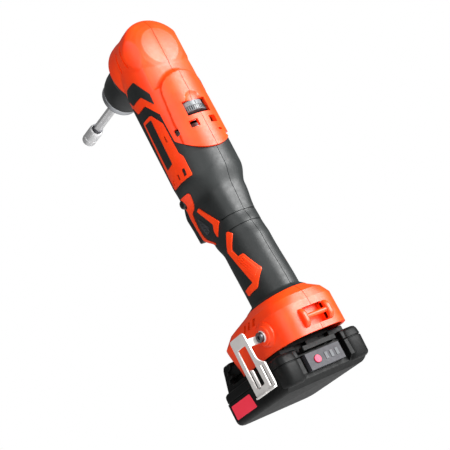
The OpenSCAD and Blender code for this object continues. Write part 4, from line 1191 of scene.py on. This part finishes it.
    def _levels(self) -> list[float]:
        """Works out the heights that the skin is lofted through, closer together at the grooves.

        Returns:
            The heights, from low to high.
        """
        count = round((self.high - self.low) / self.pitch)
        plain = [self.low + (self.high - self.low) * i / count for i in range(count + 1)]
        edges = [g + k * self.groove_half for g in self.grooves for k in self.groove_rings]
        room = self.groove_clear * self.groove_half
        return sorted(edges + [z for z in plain if all(abs(z - g) > room for g in self.grooves)])

    def _inset(self, z: float, turn: float) -> float:
        """Gives how far the outer face is drawn in.

        Args:
            z: the level.
            turn: the angle from the rear, in radians.

        Returns:
            The groove's depth inside a groove, less what the front of the section stands out.
        """
        angle = math.degrees(turn)
        inside = any(abs(z - g) < self.groove_inside * self.groove_half for g in self.grooves)
        fade = clamped((self.groove_reach - angle) / self.groove_fade)
        front = clamped((angle - self.front_turn) / self.front_ease)
        front *= clamped((z - self.front_z) / self.front_ease)
        return (self.groove_depth * fade if inside else 0.0) - self.front_rise * front


@dataclass(frozen=True)
class Foot:
    """The orange foot that the battery slides into, in two halves, with its bosses and strap lug."""

    low: float = 29.0
    high: float = 64.4
    rings: int = 36
    wall: float = 2.5
    crisp: float = 24.0
    slots: tuple[Flat, ...] = ((5.0, 8.6), (-1.8, 1.0), (-7.4, -5.0))
    slot_y: Flat = (17.0, 40.0)
    slot_z: Flat = (52.4, 57.2)
    slot_lean: float = 1.4
    boss: Flat = (14.0, 42.5)
    boss_profile: tuple[Flat, ...] = (
        (0.0, 24.0), (9.6, 24.0), (9.4, 29.6), (8.2, 30.4), (7.2, 31.0), (7.0, 31.6), (6.4, 32.0),
        (3.4, 32.0), (3.4, 30.2), (0.0, 30.2))
    boss_sides: int = 64
    boss_crisp: float = 30.0
    lug_inner: float = 8.5
    lug_outer: float = 12.6
    lug_z: Flat = (33.0, 47.0)
    lug_rear: float = 40.4
    lug_floor: float = 31.2
    floor_thickness: float = 2.0
    floor_overlap: float = 1.5
    floor_edge: float = 0.4
    post_front: float = 29.0
    post_low: Flat = (2.4, 2.6)
    post_high: Flat = (3.0, 3.4)
    post_corner: float = 2.2
    post_edge: float = 1.2
    bar: Point = (37.8, 40.0, 1.7)
    bar_overlap: float = 1.0
    bar_sides: int = 40

    def build(self) -> None:
        """Makes the foot's halves, bosses, lug posts, bar and lug pocket."""
        for side in Side:
            self._half(side)
            x, z = self.boss
            profile = [(r, side.value * y) for r, y in self.boss_profile]
            shape = Mesh.lathe(profile, (x, 0.0, z), Axis.Y, self.boss_sides)
            dress(Mesh.object(f"clip_boss_{side.word}", shape, self.boss_crisp), ORANGE, "housing")
            self._post(side)
        x, z, r = self.bar
        end = self.lug_inner + self.bar_overlap
        bar = Mesh.rod(r, (x, 0.0, z), Axis.Y, (-end, end), self.bar_sides)
        dress(Mesh.object("strap_bar", bar), ORANGE, "housing")
        half = self.lug_inner + self.floor_overlap
        low, high = self.lug_z
        pocket = Mesh.box((self.lug_floor - self.floor_thickness, -half, low - self.floor_overlap),
                          (self.lug_floor, half, high + self.floor_overlap))
        floor = Mesh.object("lug_pocket", pocket)
        Mesh.soften(floor, self.floor_edge)
        dress(floor, ORANGE, "housing")

    def _half(self, side: Side) -> None:
        """Makes one half of the foot, with its slots and its opening for the lug.

        Args:
            side: the side of the tool.
        """
        levels = [self.low + (self.high - self.low) * i / self.rings for i in range(self.rings + 1)]
        levels = sorted([*levels, FORM.rows[1].z])
        half = Mesh.object(f"foot_{side.word}", FORM.half(side, levels, lambda z, turn: 0.0, self.wall))
        low, high = self.slot_z
        for a, b in self.slots:
            outline = [(a, low), (b, low), (b + self.slot_lean, high), (a + self.slot_lean, high)]
            Mesh.cut(half, Mesh.prism(outline, Axis.Y, *side.span(*self.slot_y)))
        low, high = self.lug_z
        Mesh.cut(half, Mesh.box((self.lug_floor, -self.lug_inner, low), (FAR, self.lug_inner, high)),
                 *POCKETS.cutters(side, POCKETS.foot))
        Mesh.shade(half, self.crisp)
        dress(half, ORANGE, "housing")

    def _post(self, side: Side) -> None:
        """Makes one post of the strap lug.

        Args:
            side: the side it stands on.
        """
        low, high = self.lug_z
        rear = self.lug_rear
        outline = [(self.post_front, low), (rear - self.post_low[0], low), (rear, low + self.post_low[1]),
                   (rear, high - self.post_high[1]), (rear - self.post_high[0], high),
                   (self.post_front, high)]
        ends = side.span(self.lug_inner, self.lug_outer)
        shape = Mesh.prism(Mesh.rounded(outline, self.post_corner), Axis.Y, *ends)
        post = Mesh.object(f"lug_post_{side.word}", shape)
        Mesh.soften(post, self.post_edge)
        dress(post, ORANGE, "housing")


@dataclass(frozen=True)
class Battery:
    """The sliding battery: lower and upper case, rear corners, gauge recess, upstand and bare label.

    The rings of the cases and the pillars are (level, inset), and those of the upstand are (level, front,
    half width).
    """

    case_x: Flat = (-62.0, 25.0)
    half_w: float = 36.6
    corner: float = 9.0
    corner_steps: int = 8
    lower_rings: tuple[Flat, ...] = (
        (0.0, 3.2), (0.4, 2.0), (1.4, 0.9), (3.0, 0.2), (5.0, 0.0), (17.5, 0.0), (17.8, 0.5))
    upper_rings: tuple[Flat, ...] = (
        (18.0, 0.9), (18.3, 0.4), (22.6, 0.6), (24.0, 1.1), (24.8, 2.2), (25.0, 3.4))
    lower_recess: Block = ((20.0, -20.4, 1.0), (40.0, 20.4, 40.0))
    upper_recess: Block = ((19.0, -20.4, 10.0), (40.0, 20.4, 40.0))
    scoop: tuple[Flat, ...] = ((13.0, -1.0), (15.0, 0.4), (27.0, 7.6), (27.0, -1.0))
    crisp: float = 30.0
    edge: float = 0.5
    case_segments: int = 2
    key_well: Block = ((14.8, -15.4, 15.0), (30.0, 15.4, 40.0))
    tongue: tuple[Block, ...] = (
        ((-56.0, -20.2, 24.0), (14.2, 20.2, 41.6)), ((-56.0, -22.8, 34.0), (14.0, 22.8, 41.4)))
    ledge: Block = ((16.0, -20.6, 18.9), (20.3, 20.6, 20.7))
    deck: Block = ((-52.0, -29.0, 24.0), (18.6, 29.0, 28.6))
    upstand: tuple[Point, ...] = ((22.0, -61.8, 30.0), (42.0, -61.6, 24.5), (44.8, -60.4, 23.6))
    upstand_rear: float = -51.6
    upstand_slots: tuple[Flat, ...] = ((30.2, 33.4), (36.2, 39.6))
    slot_x: Flat = (-57.0, -49.6)
    upstand_edge: float = 1.2
    pillar_x: Flat = (11.0, 26.0)
    pillar_y: Flat = (20.8, 37.5)
    pillar_rings: tuple[Flat, ...] = (
        (2.4, 2.4), (3.2, 1.0), (4.6, 0.2), (17.2, 0.0), (17.6, 0.6), (18.0, 0.6), (18.4, 0.0), (22.6, 0.4),
        (24.2, 1.2), (24.9, 2.6))
    pillar_corner: float = 6.5
    pillar_crisp: float = 40.0
    label: tuple[Flat, ...] = ((-53.5, 4.6), (-23.5, 4.6), (-25.5, 15.2), (-53.5, 15.2))
    label_corner: float = 1.0
    label_reach: Flat = (0.15, 0.3)

    def build(self) -> None:
        """Makes the battery's cases, rail, deck, corners, upstand and label."""
        scoop = Mesh.prism(self.scoop, Axis.Y, -FAR, FAR)
        key_well = Mesh.box(*self.key_well)
        self._case("lower", self.lower_rings, Mesh.box(*self.lower_recess), scoop)
        self._case("upper", self.upper_rings, Mesh.box(*self.upper_recess), key_well)
        tongue = Mesh.object("battery_tongue", Mesh.join([Mesh.box(*block) for block in self.tongue]))
        dress(tongue, BLACK, "battery")
        blocks = (("gauge_ledge", self.ledge, ()), ("battery_deck", self.deck, (key_well,)))
        for name, block, cutters in blocks:
            piece = Mesh.object(name, Mesh.box(*block))
            Mesh.cut(piece, *cutters)
            Mesh.soften(piece, self.edge)
            dress(piece, BLACK, "battery")
        for side in Side:
            rings = [self._ring(self.pillar_x, self.pillar_y, self.pillar_corner, *ring)
                     for ring in self.pillar_rings]
            pillar = Mesh.stack([[(x, side.value * y, z) for x, y, z in ring] for ring in rings])
            dress(Mesh.object(f"corner_pillar_{side.word}", pillar, self.pillar_crisp), BLACK, "battery")
        self._upstand()
        outline = Mesh.rounded(self.label, self.label_corner)
        label = Mesh.patch(outline, lambda x, z, height: (x, -self.half_w - height, z), *self.label_reach)
        dress(Mesh.object("bare_label", label), LABEL_RED, "battery")

    def _case(self, name: str, rings: Sequence[Flat], *cutters: Solid) -> None:
        """Makes one part of the case.

        Args:
            name: which part it is, lower or upper.
            rings: its levels and their insets.
            cutters: solids that are cut out of it.
        """
        ends = (-self.half_w, self.half_w)
        shape = Mesh.stack([self._ring(self.case_x, ends, self.corner - inset / 2, z, inset)
                            for z, inset in rings])
        case = Mesh.object(f"battery_case_{name}", shape, self.crisp)
        Mesh.cut(case, *cutters)
        Mesh.shade(case, self.crisp)
        Mesh.soften(case, self.edge, self.case_segments)
        dress(case, BLACK, "battery", f"battery_{name}_case")

    def _ring(self, along: Flat, across: Flat, corner: float, z: float, inset: float) -> list[Point]:
        """Draws one level of a block with rounded corners.

        Args:
            along: the block's front and rear.
            across: its low and high Y.
            corner: the radius of its corners.
            z: the level.
            inset: how far it is drawn in there.

        Returns:
            The ring's points.
        """
        front, rear = along[0] + inset, along[1] - inset
        low, high = across[0] + inset, across[1] - inset
        plan = [(rear, low), (rear, high), (front, high), (front, low)]
        return [(x, y, z) for x, y in Mesh.rounded(plan, corner, self.corner_steps)]

    def _upstand(self) -> None:
        """Makes the wall in front of the foot, with its two slots."""
        rear = self.upstand_rear
        rings = [[(front, -half, z), (rear, -half, z), (rear, half, z), (front, half, z)]
                 for z, front, half in self.upstand]
        wall = Mesh.object("battery_upstand", Mesh.stack(rings))
        for low, high in self.upstand_slots:
            Mesh.cut(wall, Mesh.box((self.slot_x[0], -FAR, low), (self.slot_x[1], FAR, high)))
        Mesh.soften(wall, self.upstand_edge)
        dress(wall, BLACK, "battery")


@dataclass(frozen=True)
class SpeedDial:
    """The thumbwheel in the window: a plain upper band with a mark, and a ribbed lower band."""

    x: float = 17.4
    profile: tuple[Flat, ...] = (
        (0.0, 209.8), (10.2, 209.8), (10.7, 210.2), (10.7, 213.2), (10.2, 213.6), (9.8, 213.8), (10.1, 214.1),
        (10.1, 217.2), (9.7, 217.8), (0.0, 217.8))
    crisp: float = 30.0
    ribs: int = 44
    rib_r: Flat = (10.4, 11.0)
    rib_z: Flat = (210.2, 213.2)
    mark: tuple[Flat, ...] = ((-3.0, 214.6), (3.0, 214.6), (3.0, 216.8), (-3.0, 216.8))
    mark_r: float = 10.1
    mark_corner: float = 0.4
    mark_reach: Flat = (0.08, 0.3)

    def build(self) -> None:
        """Makes the wheel, its ribs and its mark."""
        wheel = Mesh.object("speed_wheel", Mesh.lathe(self.profile, (self.x, 0.0, 0.0), Axis.Z), self.crisp)
        dress(wheel, WHEEL_GREY, "speed_dial", "speed_dial")
        low, high = self.rib_r
        half = math.pi / self.ribs / 2
        ribs = []
        for turn in circle(self.ribs):
            corners = ((low, -half), (high, -half / 2), (high, half / 2), (low, half))
            outline = [(self.x + r * math.cos(turn + a), r * math.sin(turn + a)) for r, a in corners]
            ribs.append(Mesh.prism(outline, Axis.Z, *self.rib_z))
        dress(Mesh.object("speed_wheel_ribs", Mesh.join(ribs), self.crisp), GLOSS_BLACK, "speed_dial")
        on_wheel = FORM.on_section(Side.RIGHT, self.mark_r)
        points, faces = Mesh.patch(Mesh.rounded(self.mark, self.mark_corner), on_wheel, *self.mark_reach)
        mark = [(self.x + x, y, z) for x, y, z in points], faces
        dress(Mesh.object("speed_mark", mark), LAMP, "speed_dial")


@dataclass(frozen=True)
class Chuck:
    """The keyless chuck's sleeve, with rounded ends and a fine groove."""

    profile: tuple[Flat, ...] = (
        (16.6, -17.7), (17.2, -17.7), (17.6, -18.1), (17.8, -18.9), (17.8, -26.0), (17.5, -26.3),
        (17.5, -26.9), (17.8, -27.2), (17.8, -38.0), (17.5, -42.0), (16.8, -46.0), (15.7, -49.4),
        (15.2, -50.1), (14.3, -50.2), (14.5, -47.0), (16.4, -38.0), (16.6, -34.0))
    sides: int = 128
    crisp: float = 30.0

    def build(self) -> None:
        """Makes the sleeve."""
        shape = Mesh.lathe(self.profile, (0.0, 0.0, FORM.spindle_z), Axis.X, self.sides)
        dress(Mesh.object("grip_sleeve", shape, self.crisp), SLEEVE_BLACK, "chuck_sleeve", "chuck_sleeve")


@dataclass(frozen=True)
class BeltClip:
    """The stamped steel belt clip on the left side: a plate with a window and a slot, a bend and a tab."""

    plate_y: Flat = (-44.1, -42.9)
    plate: tuple[Flat, ...] = (
        (-7.8, 50.6), (11.6, 50.6), (12.6, 30.0), (16.6, 26.6), (19.6, 25.4), (19.6, 7.0), (-7.8, 7.0))
    plate_corner: float = 3.0
    plate_steps: int = 6
    window: tuple[Flat, ...] = ((-3.4, 42.2), (7.8, 42.2), (8.4, 13.0), (-3.4, 13.0))
    slot: tuple[Flat, ...] = ((13.2, 25.4), (15.8, 24.2), (15.8, 9.4), (13.2, 9.4))
    hole_y: Flat = (-50.0, -40.0)
    hole_corner: float = 1.6
    hole_steps: int = 5
    tongue: tuple[Flat, ...] = ((-0.6, 26.4), (2.2, 25.4), (2.2, 12.0), (-0.6, 12.0))
    bends: tuple[Flat, ...] = ((-7.4, 6.6), (9.8, 18.8))
    bend_y: float = -45.5
    bend_z: Flat = (6.9, 8.1)
    web: Block = ((8.8, -43.0, 39.7), (10.0, -32.2, 45.3))
    tab_y: Flat = (-33.2, -32.05)
    tab_at: Flat = (14.0, 42.5)
    tab_r: float = 4.2
    tab_steps: int = 24
    strip_half: float = 2.8
    strip_end: float = 1.0
    crisp: float = 30.0
    edge: float = 0.2
    edge_segments: int = 2

    def build(self) -> None:
        """Makes the clip's plate, tongue, bends, web and tab."""
        outline = Mesh.rounded(self.plate, self.plate_corner, self.plate_steps)
        plate = Mesh.object("clip_plate", Mesh.prism(outline, Axis.Y, *self.plate_y))
        for hole in (self.window, self.slot):
            outline = Mesh.rounded(hole, self.hole_corner, self.hole_steps)
            Mesh.cut(plate, Mesh.prism(outline, Axis.Y, *self.hole_y))
        x, z = self.tab_at
        strip, half = self.web[0][0], self.strip_half
        tab = [(x, z - half), (strip, z - half), (strip, z + half), (x - self.strip_end, z + half)]
        tab += [(x + self.tab_r * math.sin(t), z + self.tab_r * math.cos(t))
                for t in half_circle(self.tab_steps)]
        low, high = self.bend_z
        solids = [Mesh.prism(self.tongue, Axis.Y, *self.plate_y), Mesh.box(*self.web),
                  Mesh.prism(tab, Axis.Y, *self.tab_y)]
        solids += [Mesh.box((a, self.bend_y, low), (b, self.plate_y[1], high)) for a, b in self.bends]
        folds = Mesh.object("clip_folds", Mesh.join(solids))
        for piece in (plate, folds):
            Mesh.shade(piece, self.crisp)
            Mesh.soften(piece, self.edge, self.edge_segments)
        dress(plate, CLIP_STEEL, "housing", "belt_clip")
        dress(folds, CLIP_STEEL, "housing")


@dataclass(frozen=True)
class BitHolder:
    """The bright bit holder: hex shank, turned socket, and a dark ring of painted shade behind the socket."""

    flats: int = 6
    shank_r: float = 3.55
    shank_x: Flat = (-103.4, -40.0)
    shank_edge: float = 0.25
    shank_segments: int = 2
    # The collar is a dark ring behind the socket; its dark colour is painted shade of the socket's shaded
    # rear face.
    collar: tuple[Flat, ...] = ((0.0, -104.4), (4.3, -104.4), (4.3, -102.2), (3.9, -101.6), (0.0, -101.6))
    socket: tuple[Flat, ...] = (
        (3.2, -123.2), (4.9, -123.2), (5.5, -122.6), (5.65, -121.4), (5.65, -117.0), (5.3, -116.6),
        (5.3, -115.6), (5.65, -115.2), (5.65, -106.4), (5.2, -105.0), (4.4, -104.2), (0.0, -104.2),
        (0.0, -116.0), (3.2, -116.0))
    sides: int = 64
    crisp: float = 30.0

    def build(self) -> None:
        """Makes the shank, the socket and the ring."""
        centre = (0.0, 0.0, FORM.spindle_z)
        shank = Mesh.object("hex_shank", Mesh.rod(self.shank_r, centre, Axis.X, self.shank_x, self.flats))
        Mesh.soften(shank, self.shank_edge, self.shank_segments)
        dress(shank, STEEL, "bit", "bit_holder")
        # The dark ring behind the socket is painted shade, standing in for the socket's shaded rear face.
        turned = (("bit_socket", self.socket, STEEL), ("bit_ring", self.collar, DARK_STEEL_AND_SHADE))
        for name, profile, finish in turned:
            shape = Mesh.lathe(profile, centre, Axis.X, self.sides)
            dress(Mesh.object(name, shape, self.crisp), finish, "bit")


@dataclass(frozen=True)
class DirectionButton:
    """The round push-through button, pressed to the left so that its right end is flush."""

    at: Flat = (-15.5, 158.0)
    profile: tuple[Flat, ...] = (
        (0.0, -21.9), (2.2, -21.8), (3.0, -21.4), (3.5, -20.6), (3.6, -19.6), (3.6, 18.6),
        (3.2, 19.2), (0.0, 19.4))
    sides: int = 64
    crisp: float = 40.0

    def build(self) -> None:
        """Makes the button."""
        shape = Mesh.lathe(self.profile, Axis.Y.place(self.at, 0.0), Axis.Y, self.sides)
        button = Mesh.object("shift_button", shape, self.crisp)
        dress(button, GLOSS_BLACK, "direction_button", "direction_button")


@dataclass(frozen=True)
class Trigger:
    """The sprung trigger paddle, with a hollowed face and rounded edges."""

    outline: tuple[Flat, ...] = (
        (-34.4, 161.0), (-36.8, 156.8), (-38.3, 152.4), (-37.5, 147.0), (-36.8, 141.0), (-36.5, 136.0),
        (-36.2, 131.2), (-25.0, 131.2), (-20.2, 149.0), (-20.2, 161.0))
    half_w: float = 8.5
    corner: float = 1.4
    crisp: float = 30.0
    edge: float = 1.5
    edge_segments: int = 4
    edge_angle: float = 60.0

    def build(self) -> None:
        """Makes the paddle."""
        shape = Mesh.prism(Mesh.rounded(self.outline, self.corner), Axis.Y, -self.half_w, self.half_w)
        paddle = Mesh.object("trigger_paddle", shape, self.crisp)
        Mesh.soften(paddle, self.edge, self.edge_segments, self.edge_angle)
        dress(paddle, SOFT_GREY, "trigger", "trigger")


class CadPieces:
    """The CAD pieces that stay: their finishes by material slot, and the edges of those that show."""

    FINISHES: ClassVar[tuple[Finish, ...]] = (
        ORANGE, SOFT_GREY, BLACK, STEEL, CLIP_STEEL, DARK_STEEL_AND_SHADE, ALLOY, COPPER, BRASS, BOARD, PANEL_GREY,
        BUTTON_RED, LAMP, CELL)
    EDGES: ClassVar[dict[str, float]] = {
        "clip_screw": 0.3, "gauge_panel": 0.5, "gauge_leds": 0.25, "gauge_button": 0.4, "release_key": 0.7,
        "chuck_nose_ring": 0.4}
    EDGE_SEGMENTS: ClassVar[int] = 3
    EDGE_ANGLE: ClassVar[float] = 30.0
    WELD: ClassVar[float] = 0.00001

    def dress(self, nodes: dict[str, bpy.types.Object], record: dict) -> None:
        """Finishes each piece, and rounds its edges if it shows.

        Args:
            nodes: the CAD nodes by name.
            record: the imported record, which gives each node's material slot.
        """
        by_slot = {finish.slot: finish for finish in self.FINISHES}
        for part in record["subparts"]:
            name = part["node"]
            thing = nodes[name]
            finish = by_slot[part["material_slot"]]
            thing.data.materials.clear()
            thing.data.materials.append(finish.material())
            if name in self.EDGES:
                weld = thing.modifiers.new("weld", "WELD")
                weld.merge_threshold = self.WELD
                Mesh.soften(thing, self.EDGES[name], self.EDGE_SEGMENTS, self.EDGE_ANGLE)
            LOG.info("CAD piece %s in %s", name, finish.name)


@dataclass(frozen=True)
class SoftLight:
    """A soft square light: its place from the aim and its side in metres, and its power in watts."""

    name: str
    place: Point
    size: float
    power: float

    def hang(self, aim: Vector, axes: Sequence[Vector]) -> None:
        """Hangs the light.

        Args:
            aim: what it points at.
            axes: the three ways that its place is measured along.
        """
        away = sum((axis * step for axis, step in zip(axes, self.place)), Vector())
        lamp = bpy.data.lights.new(self.name, "AREA")
        lamp.size = self.size
        lamp.energy = self.power
        hung = bpy.data.objects.new(self.name, lamp)
        hung.matrix_world = Matrix.Translation(aim + away) @ away.to_track_quat("Z", "Y").to_matrix().to_4x4()
        bpy.context.scene.collection.objects.link(hung)


@dataclass(frozen=True)
class Studio:
    """The white studio: camera, lights, floor and surround.

    The picture lights are placed along the picture's right and up and back to the camera, and the rear
    light along the frame's axes.
    """

    azimuth: float = 54.16
    elevation: float = -12.88
    roll: float = 27.39
    distance: float = 980.0
    aim: Point = (-9.28, 0.0, 132.13)
    lens: float = 108.73
    sensor: float = 36.0
    clip_start: float = 0.01
    floor_z: float = -400.0
    floor_half: float = 3000.0
    surround_light: float = 0.15
    picture_lights: tuple[SoftLight, ...] = (
        SoftLight("key", (0.75, 0.7, 0.45), 0.8, 30.0), SoftLight("fill", (-0.5, 0.5, 1.0), 1.0, 8.0))
    rear_light: SoftLight = SoftLight("rear", (0.869, 0.627, 0.242), 0.6, 6.5)

    def build(self) -> None:
        """Sets up the camera, the surround, the floor and the lights."""
        axes = self._axes()
        aim = Vector(self.aim) * MM
        camera = bpy.data.cameras.new("camera")
        camera.lens = self.lens
        camera.sensor_width = self.sensor
        camera.clip_start = self.clip_start
        stand = bpy.data.objects.new("camera", camera)
        spot = Matrix.Translation(aim + axes[2] * self.distance * MM)
        stand.matrix_world = spot @ Matrix(axes).transposed().to_4x4()
        bpy.context.scene.collection.objects.link(stand)
        bpy.context.scene.camera = stand
        self._surround()
        self._floor()
        for light in self.picture_lights:
            light.hang(aim, axes)
        self.rear_light.hang(aim, list(Matrix.Identity(3)))

    def _axes(self) -> tuple[Vector, Vector, Vector]:
        """Works out the picture's axes.

        Returns:
            The picture's right and up, and the way back to the camera.
        """
        az, el, roll = (math.radians(a) for a in (self.azimuth, self.elevation, self.roll))
        back = Vector((math.sin(az) * math.cos(el), -math.cos(az) * math.cos(el), math.sin(el)))
        level = (-back).cross(Vector((0.0, 0.0, 1.0))).normalized()
        drop = (-back).cross(level)
        right = math.cos(roll) * level + math.sin(roll) * drop
        up = math.sin(roll) * level - math.cos(roll) * drop
        return right, up, back

    def _surround(self) -> None:
        """Makes the surround, white to the camera and dimmer as a light."""
        scene = bpy.context.scene
        scene.view_settings.view_transform = "Standard"
        world = bpy.data.worlds.new("studio")
        world.use_nodes = True
        tree = world.node_tree
        seen = tree.nodes["Background"]
        lit = tree.nodes.new("ShaderNodeBackground")
        lit.inputs["Strength"].default_value = self.surround_light
        path = tree.nodes.new("ShaderNodeLightPath")
        mix = tree.nodes.new("ShaderNodeMixShader")
        for background in (seen, lit):
            background.inputs["Color"].default_value = Finish.WHITE
        tree.links.new(path.outputs["Is Camera Ray"], mix.inputs["Fac"])
        tree.links.new(lit.outputs["Background"], mix.inputs[1])
        tree.links.new(seen.outputs["Background"], mix.inputs[2])
        tree.links.new(mix.outputs["Shader"], tree.nodes["World Output"].inputs["Surface"])
        scene.world = world

    def _floor(self) -> None:
        """Lays the pale floor far below the tool."""
        corners = ((-1, -1), (1, -1), (1, 1), (-1, 1))
        points = [(self.floor_half * x, self.floor_half * y, self.floor_z) for x, y in corners]
        floor = Mesh.object("floor", (points, [(0, 1, 2, 3)]))
        floor.data.materials.append(FLOOR.material())


def main() -> None:
    """Builds the drill's looks over its frame, then the studio."""
    logging.basicConfig(level=logging.INFO, format="%(name)s: %(message)s")
    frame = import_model()
    CadPieces().dress(frame["nodes"], frame["record"])
    skin = UpperShell().build()
    SoftGrip().build(skin)
    for assembly in (Foot, Battery, SpeedDial, Chuck, BeltClip, BitHolder, DirectionButton, Trigger, Studio):
        assembly().build()


if __name__ == "__main__":
    main()
